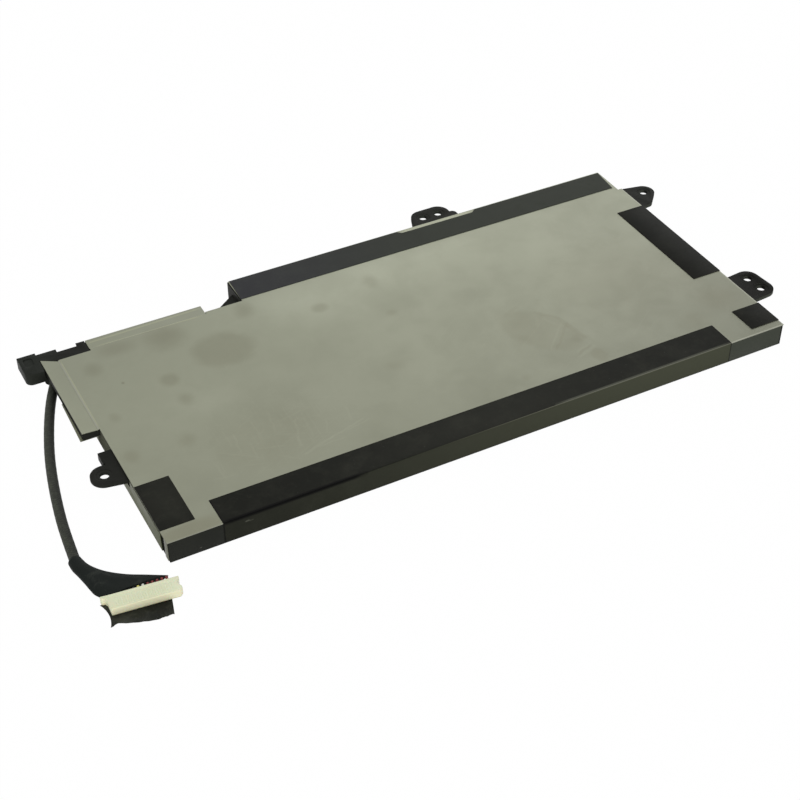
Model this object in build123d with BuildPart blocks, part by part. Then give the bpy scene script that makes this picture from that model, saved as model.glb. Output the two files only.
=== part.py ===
import os
from math import cos, pi, radians, sin, tan

from build123d import *

os.makedirs("parts", exist_ok=True)

# All sizes are in millimetres. X runs along the front wall from the cover's left edge, Y runs
# from the front wall to the rear, and Z runs up from the surface that the pack lies on.

# Body
body_length = 236.0
body_depth = 104.2
pack_height = 8.5
sheet = 0.3
tape = 0.15

# Moulded frame
wall = 1.4
side_wall = 2.0
front_rail = 3.0
rear_wall = 2.6
rib = 1.6
tray_lip = 0.6
skin_gap = 0.1
corner_radius = 0.6
slot_start = 2.9
slot_end = 6.0
slot_depth = 1.2

# Rear bar that holds the circuit board, and the recess to its left
bar_projection = 13.6
bar_overlap = 8.63
bar_right_inset = 1.7
shoulder_setback = 1.2
recess_width = 14.2
gusset_height = 5.4
gusset_reach = 9.2
gusset_lip = 0.7
gusset_run = 2.8

# Stepped flanges of the cover
step_drop = 0.45
step_run = 0.6
flange_reach = 5.9
flange_gap = 0.4
flange_chamfer = 3.1
plate_rear_setback = 2.2
rear_flange_left = 11.6
rear_flange_reach = 4.7
rear_step_setback = 1.2
tab_width_at_corner = 2.5
tab_bottom = 0.6
step_overlap = 0.3

# Thin part of the body at the left, which stands clear of the table
thin_bottom = 5.3
thin_front = 60.6
thin_reach = 5.9
lip_reach = 6.9
lip_rear_reach = 6.2
lip_setback = 22.2
tray_wall_top = 7.4
wall_gap = 0.3
ear_gap = 0.8

# Lead housing and mounting block at the rear left
housing_reach = 6.3
housing_setback = 3.7
housing_floor = 0.6
housing_roof = 0.85
housing_chamfer = 1.2
rim_height = 0.25
channel_reach = 4.2
neck_reach = 3.1
neck_right = 8.2
knob_right = 11.3
knob_reach = 4.8
housing_rear_right = 0.9
block_reach = 12.9
block_setback = 5.3
block_rear_reach = 6.0
block_bottom = 3.5
block_corner = 2.4
block_recess = 0.35
recess_size = (3.2, 4.4)
recess_corner = 0.8
recess_shift = (-0.2, 1.65)
channel_gap = 0.4
channel_overlap = 1.0

# Screw ears: hole places from the wall that carries them, and from the body's rear at the far right
ear_top = 7.6
ear_thickness = 1.4
screw_hole = 3.2
screw_seat = 5.4
screw_seat_depth = 0.15
ear_root = 0.6
left_ear_hole = (6.0, 39.2)
left_ear_radius = 4.7
left_ear_root = (33.6, 43.6)
nub_reach = 4.5
nub_span = (44.5, 50.1)
nub_height = 2.8
nub_notch = 0.6
nub_overlap = 1.0
right_front_holes = ((7.1, 30.0), (7.8, 22.9))
right_front_radius = 4.6
right_front_root = (17.9, 33.6)
right_rear_hole = (7.2, 6.3)
right_rear_radius = 4.4
right_rear_lobe = (4.2, 12.4)
right_rear_lobe_radius = 2.5
right_rear_root = (15.0, 0.6)
rear_holes = ((155.8, 5.3), (162.5, 5.4))
rear_ear_radius = 4.7
rear_ear_root = (148.8, 166.8)
rear_lobe = (167.4, 2.4)
rear_lobe_radius = 1.9
rear_lobe_overlap = 2.0

# Pouch cells
cell_count = 3
cell_thickness = 6.6
cell_clearance = 0.5
cell_edge = 1.6
terrace_length = 3.0
terrace_thickness = 1.2
terrace_setback = 2.2
pad_thickness = 0.3
pad_width = 8.0
pad_spacing = 50.0
pad_end_margin = 8.0
foam_width = 5.0

# Cell tabs and the jumper
tab_thickness = 0.2
tab_width = 5.0
tab_inset = 3.2
tab_spacing = 18.0
tab_landing = 2.2
tab_room = 0.4
jumper_size = 1.2
jumper_radius = 2.4
jumper_lift = 0.1

# Circuit board and its parts
board_underside = 3.4
board_thickness = 0.8
board_clearance = 0.4
rest_count = 5
rest_width = 3.0
film_clearance = 0.2
switch_size = (5.2, 6.2, 1.0)
switch_pitch = 8.0
switch_count = 4
gauge_offset = 28.0
resistor_offset = 12.0
capacitor_offset = 38.0
part_shift = 0.8
capacitor_shift = 1.2
board_hole = 1.8
right_hole_inset = 4.0
left_hole_inset = 14.0
left_hole_setback = 2.0
gauge_size = (7.0, 7.0, 0.9)
resistor_size = (6.4, 3.2, 0.7)
fuse_size = (4.2, 3.0, 1.1)
fuse_inset = 24.4
capacitor_size = (1.6, 0.8, 0.8)
capacitor_count = 8
capacitor_pitch = 3.4
header_size = (5.4, 3.6)
header_setback = 3.2
thermistor_size = (2.4, 3.0, 0.8)
thermistor_lead = 0.5
thermistor_notch = 2.4
sensor_gap = 0.4

# Tapes, placed from the cover's front left corner
front_tape_left = 18.6
front_tape_right_inset = 23.2
front_tape_width = 11.6
front_tape_hem = 0.5
back_tape_offset = 0.9
back_tape_margin = 0.5
back_tape_inset = 0.6
back_tape_slant = 2.2
back_tape_end = 1.4
left_tape_width = 11.7
left_tape_span = (5.9, 28.3)
right_tape_width = 11.8
right_long_front = 37.9
right_long_setback = 15.6
right_short_span = (3.1, 14.9)
right_tape_hem = 1.2

# Lead: sleeve, grommet and inner wires
lead_diameter = 3.5
lead_exit_x = -3.0
lead_exit_z = 2.4
grommet_front = 0.9
grommet_depth = 0.1
neck_wall = 0.45
floor_gap = 0.1
bundle_width = 1.8
bundle_bend = 0.95
bundle_clearance = 0.1
bundle_drop = 0.4
window_drop = 0.2

# Connector on the lead
connector_place = (-19.36, -107.2)
connector_turn = -6.3
connector_length = 21.2
connector_depth = 6.1
connector_height = 3.1
left_hook = [(0, 0), (-2.1, 0.15), (-2.0, -0.8), (0, -1.8)]
right_hook = [(0.9, 1.0), (0.8, 1.9), (-0.2, 3.3)]
right_horn = [(0.9, -0.7), (1.0, 0)]
hook_radius = 0.2
ways = 12
pitch = 1.5
cavity = 1.04
cavity_height = 1.7
contact_width = 0.7
contact_thickness = 0.3
contact_length = 4.2
wire_diameter = 0.9
wire_insertion = 1.1
contact_gap = 0.2
boot_gap_left = 0.45
boot_gap_right = 2.3
boot_shift = 1.6
boot_end_width = 19.4
boot_end_height = 2.9
boot_end_straight = 1.2
boot_sides = 14
window_depth = 0.35
window_width = 0.8
window_setback = 0.9
window_length = 2.0
flap_thickness = 0.25
flap_margin = 0.6
flap_right = 18.0
flap_edge = [(-1.3, 3.8), (0.9, 3.5), (7.0, 5.3), (12.9, 6.0), (17.3, 5.7), (18.3, 0)]

# Worked out from the sizes above
plate_underside = pack_height - sheet
flange_underside = plate_underside - step_drop
rim_top = flange_underside + rim_height
frame_left = sheet + skin_gap
lip_rear = body_depth - lip_setback
flange_front = thin_front + flange_gap
housing_front = body_depth - housing_setback
bar_rear = body_depth + bar_projection
bar_right = body_length - bar_right_inset
shoulder = body_depth - shoulder_setback
bay_rear = body_depth - rear_wall
bay_left = frame_left + side_wall
bay_right = body_length - side_wall
bay_width = (bay_right - bay_left - (cell_count - 1) * rib) / cell_count
bay_pitch = bay_width + rib
bay_centre = ((bay_left + bay_right) / 2, (front_rail + bay_rear) / 2)
bar_left = bay_left + bay_width - bar_overlap
recess_left = bar_left - recess_width
plate_rear_left = body_depth - plate_rear_setback
rear_step = body_depth - rear_step_setback
ear_bottom = ear_top - ear_thickness

right_reach = max(right_front_holes[1][0] + right_front_radius, right_rear_hole[0] + right_rear_radius)
rear_reach = rear_holes[1][1] + rear_ear_radius
centre_x = (body_length + right_reach - block_reach) / 2
centre_y = (bar_rear + rear_reach - tape) / 2
corner = Plane(origin=(-centre_x, -centre_y, 0))


def level(height):
    """Horizontal plane at a height, with its origin at the cover's front left corner."""
    return corner.offset(height)


def place(x, y, z):
    """Point in the part's own frame, from a place measured at the front left corner."""
    return corner.from_local_coords((x, y, z))


def rectangle_between(low, high):
    """Rectangle from its low corner to its high corner, in the sketch that is open."""
    with Locations(((low[0] + high[0]) / 2, (low[1] + high[1]) / 2)):
        Rectangle(high[0] - low[0], high[1] - low[1])


def ear_outline(circles, root):
    """Outline that wraps the ear's lobes and the stretch of wall that carries them."""
    with BuildSketch() as lobes:
        for centre, radius in circles:
            with Locations(centre):
                Circle(radius)
        with Locations(*root):
            Circle(ear_root / 2)
    with BuildSketch() as outline:
        make_hull(lobes.sketch.edges())
    return outline.sketch


def export(piece, name):
    piece.part.label = name
    export_step(piece.part, f"parts/{name}.step")


# Outline of the lower cover: a lip of the frame surrounds it, apart from its folded left wall
tray_right = body_length - tray_lip
tray_left = frame_left + tray_lip
tray_corners = [
    (tray_left, tray_lip),
    (tray_right, tray_lip),
    (tray_right, shoulder - tray_lip),
    (bar_right - tray_lip, shoulder - tray_lip),
    (bar_right - tray_lip, bar_rear - tray_lip),
    (bar_left + tray_lip, bar_rear - tray_lip),
    (bar_left + tray_lip, body_depth - tray_lip),
    (tray_left, body_depth - tray_lip),
    (tray_left, lip_rear),
    (0, lip_rear),
    (0, slot_end),
    (tray_left, slot_end),
]

# Places of the cell tabs, from left to right
cell_rights = [bay_left + i * bay_pitch + bay_width - cell_clearance for i in range(cell_count)]
inner_tabs = [right - tab_inset for right in cell_rights]
outer_tabs = [right - tab_inset - tab_spacing for right in cell_rights]
tab_bottom_z = board_underside + board_thickness
cell_bottom = sheet + pad_thickness
cell_top = cell_bottom + cell_thickness
terrace_rear = bay_rear - terrace_setback
cell_rear = terrace_rear - terrace_length
cell_centre_x = [right - (bay_width - 2 * cell_clearance) / 2 for right in cell_rights]
thermistor_x = cell_centre_x[1] - bay_width / 4

# Bay of the lead housing and the wire channel behind the body
channel_front = body_depth - rear_wall + wall + channel_gap
channel_rear = body_depth + neck_reach - wall
channel_centre = (channel_front + channel_rear) / 2
channel_left = -housing_reach + wall
channel_right = recess_left - wall
groove_left = channel_right - 2 * bundle_width
groove_depth = bundle_width + 2 * bundle_clearance
header_left = bar_left + wall + board_clearance
header_centre = header_left + header_size[0] / 2
header_front = body_depth + header_setback
wire_window = board_underside - window_drop

with BuildPart() as frame:
    # Body and rear bar
    with BuildSketch(level(0)):
        with BuildLine():
            Polyline(
                (frame_left, 0),
                (body_length, 0),
                (body_length, shoulder),
                (bar_right, shoulder),
                (bar_right, bar_rear),
                (bar_left, bar_rear),
                (bar_left, body_depth),
                (frame_left, body_depth),
                close=True,
            )
        make_face()
    extrude(amount=plate_underside)
    fillet(frame.edges().filter_by(Axis.Z).group_by(Axis.Y)[-1], corner_radius)
    fillet(frame.edges().filter_by(Axis.Z).group_by(Axis.X)[-1], corner_radius)

    # Seat of the cover's rear step and of its rear edge at the left
    with BuildSketch(level(flange_underside)):
        rectangle_between((frame_left, plate_rear_left), (rear_flange_left, body_depth))
        rectangle_between((rear_flange_left, rear_step), (recess_left, body_depth))
    extrude(amount=plate_underside - flange_underside, mode=Mode.SUBTRACT)

    # Lead housing and wire channel
    with BuildSketch(level(0)):
        with BuildLine():
            Polyline(
                (-housing_reach, housing_front),
                (side_wall, housing_front),
                (side_wall, bay_rear),
                (recess_left, bay_rear),
                (recess_left, body_depth + channel_reach),
                (neck_right, body_depth + channel_reach),
                (neck_right, body_depth + neck_reach),
                (housing_rear_right, body_depth + neck_reach),
                (housing_rear_right, body_depth + knob_reach),
                (-housing_reach, body_depth + knob_reach),
                close=True,
            )
        make_face()
    extrude(amount=flange_underside)
    chamfer(frame.edges().filter_by(Axis.Y).group_by(Axis.Z)[0].sort_by(Axis.X)[0], housing_chamfer)
    with BuildSketch(level(flange_underside)):
        with BuildLine():
            Polyline(
                (-housing_reach, plate_rear_left + flange_chamfer + step_overlap),
                (-step_run, plate_rear_left + step_overlap),
                (knob_right, plate_rear_left + step_overlap),
                (knob_right, body_depth + knob_reach),
                (neck_right, body_depth + knob_reach),
                (neck_right, body_depth + neck_reach),
                (housing_rear_right, body_depth + neck_reach),
                (housing_rear_right, body_depth + knob_reach),
                (-housing_reach, body_depth + knob_reach),
                close=True,
            )
        make_face()
    extrude(amount=rim_height)

    # Thin part under the cover's left flange
    with BuildSketch(level(thin_bottom + sheet)):
        rectangle_between((-thin_reach, thin_front), (side_wall, housing_front + wall))
    extrude(amount=flange_underside - thin_bottom - sheet)

    # Mounting block with a shallow recess
    with BuildSketch(level(block_bottom)) as block:
        rectangle_between(
            (-block_reach, body_depth - block_setback), (-housing_reach, body_depth + block_rear_reach)
        )
        fillet(block.vertices().group_by(Axis.X)[0].sort_by(Axis.Y)[0], block_corner)
    extrude(amount=rim_top - block_bottom)
    with BuildSketch(level(rim_top)) as recess:
        block_x = -(block_reach + housing_reach) / 2
        block_y = body_depth + (block_rear_reach - block_setback) / 2
        with Locations((block_x + recess_shift[0], block_y + recess_shift[1])):
            RectangleRounded(recess_size[0], recess_size[1], recess_corner)
    extrude(amount=-block_recess, mode=Mode.SUBTRACT)

    # Gusset in the recess
    with BuildSketch(level(0)):
        with BuildLine():
            Polyline(
                (recess_left, bay_rear),
                (bar_left, bay_rear),
                (bar_left, body_depth + gusset_reach),
                (recess_left + gusset_run, body_depth + gusset_lip),
                (recess_left, body_depth + gusset_lip),
                close=True,
            )
        make_face()
    extrude(amount=gusset_height)

    # Ears
    with BuildSketch(level(ear_bottom)):
        left_hole = (-left_ear_hole[0], left_ear_hole[1])
        left_root = [(frame_left, y) for y in left_ear_root]
        add(ear_outline([(left_hole, left_ear_radius)], left_root))
        right_root = [(body_length - ear_root / 2, y) for y in right_front_root]
        front_lobes = [((body_length + x, y), right_front_radius) for x, y in right_front_holes]
        add(ear_outline(front_lobes, right_root))
        right_root = [(body_length - ear_root / 2, body_depth - y) for y in right_rear_root]
        rear_lobes = [
            ((body_length + right_rear_hole[0], body_depth - right_rear_hole[1]), right_rear_radius),
            ((body_length + right_rear_lobe[0], body_depth - right_rear_lobe[1]), right_rear_lobe_radius),
        ]
        add(ear_outline(rear_lobes, right_root))
        back_root = [(x, bar_rear - ear_root / 2) for x in rear_ear_root]
        back_lobes = [((x, bar_rear + y), rear_ear_radius) for x, y in rear_holes]
        add(ear_outline(back_lobes, back_root))
        with Locations((rear_lobe[0], bar_rear + rear_lobe[1])):
            Circle(rear_lobe_radius)
        rectangle_between(
            (rear_ear_root[1] - rear_lobe_overlap, bar_rear - ear_root),
            (rear_lobe[0] + rear_lobe_radius, bar_rear + rear_lobe[1]),
        )
    extrude(amount=ear_thickness)
    with BuildSketch(level(ear_top)):
        rectangle_between((-nub_reach, nub_span[0]), (frame_left + ear_root, nub_span[1]))
        rectangle_between(
            (-nub_reach + nub_notch, left_ear_root[1] - nub_overlap), (frame_left + ear_root, nub_span[1])
        )
    extrude(amount=-nub_height)

    # Cell bays, open at the top and at the bottom
    with BuildSketch(level(0)):
        with Locations(bay_centre):
            with GridLocations(bay_pitch, 1, cell_count, 1):
                RectangleRounded(bay_width, bay_rear - front_rail, corner_radius)
    extrude(amount=plate_underside, mode=Mode.SUBTRACT)

    # Bay of the circuit board
    with BuildSketch(level(0)):
        rectangle_between((bar_left + wall, body_depth), (bar_right - wall, bar_rear - wall))
    extrude(amount=plate_underside, mode=Mode.SUBTRACT)

    # Seat of the lower cover
    with BuildSketch(level(0)):
        with BuildLine():
            Polyline(tray_corners, close=True)
        make_face()
    extrude(amount=sheet, mode=Mode.SUBTRACT)

    # Inside of the lead housing and of the wire channel
    with BuildSketch(level(housing_floor)):
        rectangle_between((channel_left, channel_front), (channel_right, channel_rear))
        rectangle_between((channel_left, housing_front + wall), (frame_left, channel_rear))
    extrude(amount=flange_underside - housing_floor - housing_roof, mode=Mode.SUBTRACT)
    with BuildSketch(level(flange_underside)):
        rectangle_between((rear_flange_left + wall, channel_front), (channel_right, channel_rear))
    extrude(amount=-housing_roof, mode=Mode.SUBTRACT)

    # Path of the inner wires along the rear wall, and its two windows
    with BuildSketch(level(housing_floor)):
        groove_front = bay_rear - channel_overlap
        groove_right = header_centre + bundle_width
        rectangle_between((groove_left, groove_front), (groove_right, bay_rear + groove_depth))
        rectangle_between((groove_left, groove_front), (channel_right, channel_rear))
        rectangle_between((header_centre - 0.7 * bundle_width, bay_rear), (groove_right, header_front))
    extrude(amount=wire_window - housing_floor, mode=Mode.SUBTRACT)

    # Notches for the cell tabs and for the temperature sensor's leads
    with BuildSketch(level(plate_underside)):
        for x in inner_tabs + outer_tabs[1:]:
            rectangle_between(
                (x - tab_width / 2 - tab_room, bay_rear - channel_overlap),
                (x + tab_width / 2 + tab_room, body_depth + channel_overlap),
            )
    extrude(amount=tab_bottom_z - jumper_lift - plate_underside, mode=Mode.SUBTRACT)
    with BuildSketch(level(plate_underside)):
        rectangle_between(
            (thermistor_x - thermistor_notch / 2, bay_rear - channel_overlap),
            (thermistor_x + thermistor_notch / 2, body_depth + channel_overlap),
        )
    extrude(amount=tab_bottom_z - jumper_lift - plate_underside, mode=Mode.SUBTRACT)

    # Rests of the circuit board
    with BuildSketch(level(sheet)):
        with Locations(((bar_left + bar_right) / 2, (body_depth + bar_rear - wall) / 2)):
            with GridLocations((bar_right - bar_left) * 0.21, 1, rest_count, 1):
                Rectangle(rest_width, bar_projection - wall)
    extrude(amount=board_underside - sheet)

    # Slot beside the cover's corner tab
    with BuildSketch(level(tab_bottom)):
        rectangle_between((frame_left, slot_start), (frame_left + slot_depth, slot_end))
    extrude(amount=plate_underside - tab_bottom, mode=Mode.SUBTRACT)

    # Screw holes with shallow seats
    hole_places = [left_hole]
    hole_places += [(body_length + x, y) for x, y in right_front_holes]
    hole_places += [(body_length + right_rear_hole[0], body_depth - right_rear_hole[1])]
    hole_places += [(x, bar_rear + y) for x, y in rear_holes]
    with Locations([Location(place(x, y, ear_top)) for x, y in hole_places]):
        CounterBoreHole(screw_hole / 2, screw_seat / 2, screw_seat_depth, ear_thickness)

    # Round hole where the lead leaves the housing
    with BuildSketch(
        Plane(origin=place(lead_exit_x, housing_front, lead_exit_z), x_dir=(1, 0, 0), z_dir=(0, -1, 0))
    ):
        Circle(lead_diameter / 2)
    extrude(amount=-wall - grommet_depth, mode=Mode.SUBTRACT)

with BuildPart() as bottom_tray:
    with BuildSketch(level(0)):
        with BuildLine():
            Polyline(tray_corners, close=True)
        make_face()
    extrude(amount=sheet)
    # Folded left wall, high in front of the thin part and low beside it, cut out for the ear
    with BuildSketch(Plane(origin=place(0, 0, 0), x_dir=(0, 1, 0), z_dir=(1, 0, 0))) as side:
        with BuildLine():
            Polyline(
                (slot_end, 0),
                (lip_rear, 0),
                (lip_rear, thin_bottom + sheet),
                (thin_front, thin_bottom + sheet),
                (thin_front - wall_gap, tray_wall_top),
                (nub_span[1] + wall_gap, tray_wall_top),
                (nub_span[1] + wall_gap, ear_top - nub_height - wall_gap),
                (left_ear_root[0] - ear_gap, ear_top - nub_height - wall_gap),
                (left_ear_root[0] - ear_gap, tray_wall_top),
                (slot_end, tray_wall_top),
                close=True,
            )
        make_face()
    extrude(amount=sheet)
    # Lip under the thin part, a little narrower at its rear end
    with BuildSketch(level(thin_bottom)):
        with BuildLine():
            Polyline(
                (sheet, thin_front),
                (sheet, lip_rear),
                (-lip_rear_reach, lip_rear),
                (-lip_reach, thin_front),
                close=True,
            )
        make_face()
    extrude(amount=sheet)
    fold = bottom_tray.edges().filter_by(Axis.Y).filter_by_position(Axis.Z, 0, 0).sort_by(Axis.X)[0]
    fillet(fold, sheet * 0.9)

with BuildPart() as top_plate:
    with BuildSketch(level(plate_underside)) as cover:
        with BuildLine():
            Polyline(
                (0, 0),
                (body_length, 0),
                (body_length, shoulder),
                (bar_right, shoulder),
                (bar_right, bar_rear),
                (bar_left + 0.4, bar_rear),
                (bar_left + 0.4, body_depth),
                (recess_left, body_depth),
                (recess_left, rear_step),
                (rear_flange_left, rear_step),
                (rear_flange_left, plate_rear_left),
                (0, plate_rear_left),
                close=True,
            )
        make_face()
        fillet(cover.vertices().group_by(Axis.Y)[-1], corner_radius)
    extrude(amount=sheet)
    # Left flange, its step and its chamfered far end
    with BuildSketch(Plane(origin=place(0, thin_front, 0), x_dir=(1, 0, 0), z_dir=(0, -1, 0))):
        with BuildLine():
            Polyline(
                (0, plate_underside),
                (0, pack_height),
                (-step_run, flange_underside + sheet),
                (-step_run, flange_underside),
                close=True,
            )
        make_face()
    extrude(amount=-(plate_rear_left - thin_front))
    with BuildSketch(level(flange_underside)):
        with BuildLine():
            Polyline(
                (-step_run, flange_front - step_overlap),
                (-step_run, plate_rear_left),
                (-flange_reach, plate_rear_left + flange_chamfer),
                (-flange_reach, flange_front),
                close=True,
            )
        make_face()
    extrude(amount=sheet)
    # Rear flange and its step
    with BuildSketch(Plane(origin=place(rear_flange_left, 0, 0), x_dir=(0, 1, 0), z_dir=(1, 0, 0))):
        with BuildLine():
            Polyline(
                (rear_step, plate_underside),
                (rear_step, pack_height),
                (rear_step + step_run, flange_underside + sheet),
                (body_depth + rear_flange_reach, flange_underside + sheet),
                (body_depth + rear_flange_reach, flange_underside),
                (rear_step + step_run, flange_underside),
                close=True,
            )
        make_face()
    extrude(amount=recess_left - rear_flange_left)
    # Tab folded down at the front left corner
    with BuildSketch(level(tab_bottom)):
        rectangle_between((0, sheet), (sheet, tab_width_at_corner + sheet))
    extrude(amount=pack_height - tab_bottom)

# Cells
cells = []
cell_names = ["cell_left", "cell_middle", "cell_right"]
for name, middle in zip(cell_names, cell_centre_x):
    with BuildPart() as cell:
        front = front_rail + cell_clearance
        with BuildSketch(level(cell_bottom)):
            with Locations((middle, (front + cell_rear) / 2)):
                Rectangle(bay_width - 2 * cell_clearance, cell_rear - front)
        extrude(amount=cell_thickness)
        fillet(cell.edges().group_by(Axis.Z)[-1] + cell.edges().group_by(Axis.Z)[0], cell_edge)
        with BuildSketch(level(tab_bottom_z + tab_thickness / 2 - terrace_thickness / 2)):
            with Locations((middle, (cell_rear + terrace_rear) / 2)):
                Rectangle(bay_width - 2 * cell_clearance - 2 * cell_edge, terrace_length)
        extrude(amount=terrace_thickness)
    export(cell, name)

with BuildPart() as cell_adhesives:
    with BuildSketch(level(sheet)):
        for middle in cell_centre_x:
            with Locations((middle, (front_rail + cell_rear) / 2)):
                with GridLocations(pad_spacing, 1, 2, 1):
                    Rectangle(pad_width, cell_rear - front_rail - 2 * pad_end_margin)
    extrude(amount=pad_thickness)

with BuildPart() as foam_strips:
    with BuildSketch(level(cell_top)):
        for middle in cell_centre_x:
            with Locations((middle, (front_rail + cell_rear) / 2)):
                with GridLocations(pad_spacing, 1, 2, 1):
                    Rectangle(foam_width, cell_rear - front_rail - 3 * pad_end_margin)
    extrude(amount=plate_underside - cell_top)

with BuildPart() as cell_tabs:
    with BuildSketch(level(tab_bottom_z)):
        for x in inner_tabs + outer_tabs[1:]:
            rectangle_between(
                (x - tab_width / 2, terrace_rear), (x + tab_width / 2, body_depth + tab_landing)
            )
        left_tab = outer_tabs[0]
        rectangle_between(
            (left_tab - tab_width / 2, terrace_rear), (left_tab + tab_width / 2, bay_rear - 0.3)
        )
    extrude(amount=tab_thickness)

jumper_z = tab_bottom_z + tab_thickness + jumper_lift + jumper_size / 2
jumper_y = (terrace_rear + bay_rear) / 2
with BuildPart() as negative_wire:
    with BuildLine() as jumper:
        FilletPolyline(
            place(left_tab - tab_width / 2, jumper_y, jumper_z),
            place(inner_tabs[0], jumper_y, jumper_z),
            place(inner_tabs[0], body_depth + 2 * tab_landing, jumper_z),
            radius=jumper_radius,
        )
    with BuildSketch(Plane(origin=jumper.line @ 0, z_dir=jumper.line % 0)):
        Rectangle(jumper_size, jumper_size)
    sweep()

# Circuit board in the rear bar
board_left = bar_left + wall + board_clearance
board_right = bar_right - wall - board_clearance
board_front = body_depth + board_clearance
board_rear = bar_rear - wall - board_clearance
board_top = board_underside + board_thickness
board_middle = (board_front + board_rear) / 2 + part_shift
with BuildPart() as protection_board:
    with BuildSketch(level(board_underside)) as board_face:
        rectangle_between((board_left, board_front), (board_right, board_rear))
        fillet(board_face.vertices(), corner_radius)
        right_hole = (board_right - right_hole_inset, board_middle)
        with Locations(right_hole, (board_left + left_hole_inset, board_rear - left_hole_setback)):
            Circle(board_hole / 2, mode=Mode.SUBTRACT)
    extrude(amount=board_thickness)


def board_part(size, places):
    """Solids of one size on the board's upper face, a row of copies of one component."""
    with BuildPart() as component:
        with BuildSketch(level(board_top)):
            with Locations(*places):
                Rectangle(size[0], size[1])
        extrude(amount=size[2])
        top_edges = component.edges().group_by(Axis.Z)[-1]
        chamfer(top_edges, min(size) * 0.12)
    return component


# The components follow each other leftwards from the board's right end
fuse_x = board_right - fuse_inset
switch_places = [(fuse_x - (i + 1) * switch_pitch, board_middle) for i in range(switch_count)]
last_switch = switch_places[-1][0]
power_switches = board_part(switch_size, switch_places)
gauge_chip = board_part(gauge_size, [(last_switch - gauge_offset, board_middle)])
sense_resistor = board_part(resistor_size, [(last_switch - resistor_offset, board_middle)])
board_fuse = board_part(fuse_size, [(fuse_x, board_middle)])
capacitor_places = [
    (last_switch - capacitor_offset - i * capacitor_pitch, board_middle + capacitor_shift)
    for i in range(capacitor_count)
]
board_capacitors = board_part(capacitor_size, capacitor_places)

with BuildPart() as lead_header:
    with BuildSketch(level(housing_floor)):
        rectangle_between(
            (header_left, header_front), (header_left + header_size[0], header_front + header_size[1])
        )
    extrude(amount=board_underside - housing_floor)

with BuildPart() as board_film:
    with BuildSketch(level(plate_underside)):
        rectangle_between(
            (board_left - film_clearance, board_front), (board_right + film_clearance, board_rear)
        )
    extrude(amount=-tape)

with BuildPart() as thermistor:
    bead_rear = cell_rear - cell_edge
    with BuildSketch(level(cell_top)):
        rectangle_between(
            (thermistor_x - thermistor_size[0] / 2, bead_rear - thermistor_size[1]),
            (thermistor_x + thermistor_size[0] / 2, bead_rear),
        )
    extrude(amount=thermistor_size[2])
    lead_high = cell_top + thermistor_size[2] / 2
    lead_low = board_top + thermistor_lead / 2 + jumper_lift
    for side in (-1, 1):
        lead_x = thermistor_x + side * thermistor_lead
        with BuildLine() as bead_lead:
            Polyline(
                place(lead_x, bead_rear - thermistor_size[1] / 2, lead_high),
                place(lead_x, terrace_rear - sensor_gap, lead_high),
                place(lead_x, bay_rear - sensor_gap / 2, lead_low),
                place(lead_x, body_depth + tab_landing, lead_low),
            )
        with BuildSketch(Plane(origin=bead_lead.line @ 0, z_dir=bead_lead.line % 0)):
            Rectangle(thermistor_lead, thermistor_lead)
        sweep(path=bead_lead.line, transition=Transition.RIGHT)

# Tapes
with BuildPart() as front_tape:
    with BuildSketch(Plane(origin=place(front_tape_left, 0, 0), x_dir=(0, 1, 0), z_dir=(1, 0, 0))):
        with BuildLine():
            Polyline(
                (0, front_tape_hem),
                (0, pack_height),
                (front_tape_width, pack_height),
                (front_tape_width, pack_height + tape),
                (-tape, pack_height + tape),
                (-tape, front_tape_hem),
                close=True,
            )
        make_face()
    extrude(amount=body_length - front_tape_right_inset - front_tape_left)
    outer = front_tape.edges().filter_by(Axis.X).group_by(Axis.Y)[0].sort_by(Axis.Z)[-1]
    fillet(outer, tape * 0.9)

with BuildPart() as back_tape:
    with BuildSketch(level(pack_height)):
        with BuildLine():
            tape_left = bar_left + back_tape_inset
            Polyline(
                (tape_left, body_depth + back_tape_offset),
                (bar_right - back_tape_end, body_depth + back_tape_offset),
                (bar_right - back_tape_margin, bar_rear - back_tape_margin),
                (tape_left + back_tape_slant, bar_rear - back_tape_margin / 2),
                close=True,
            )
        make_face()
    extrude(amount=tape)

with BuildPart() as left_tape:
    with BuildSketch(level(pack_height)):
        rectangle_between((0, left_tape_span[0]), (left_tape_width, left_tape_span[1]))
    extrude(amount=tape)


def right_tape(span):
    """Strip that lies on the cover's right border and turns down over the right wall."""
    with BuildPart() as strip:
        with BuildSketch(Plane(origin=place(0, span[1], 0), x_dir=(1, 0, 0), z_dir=(0, -1, 0))):
            with BuildLine():
                Polyline(
                    (body_length - right_tape_width, pack_height),
                    (body_length - right_tape_width, pack_height + tape),
                    (body_length + tape, pack_height + tape),
                    (body_length + tape, right_tape_hem),
                    (body_length, right_tape_hem),
                    (body_length, pack_height),
                    close=True,
                )
            make_face()
        extrude(amount=span[1] - span[0])
    return strip


right_tape_long = right_tape((right_long_front, body_depth - right_long_setback))
right_tape_short = right_tape(right_short_span)


def from_exit(x, y, z):
    """Point on the lead, from a place measured at the middle of the housing's front hole."""
    return place(lead_exit_x + x, housing_front + y, z)


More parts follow.
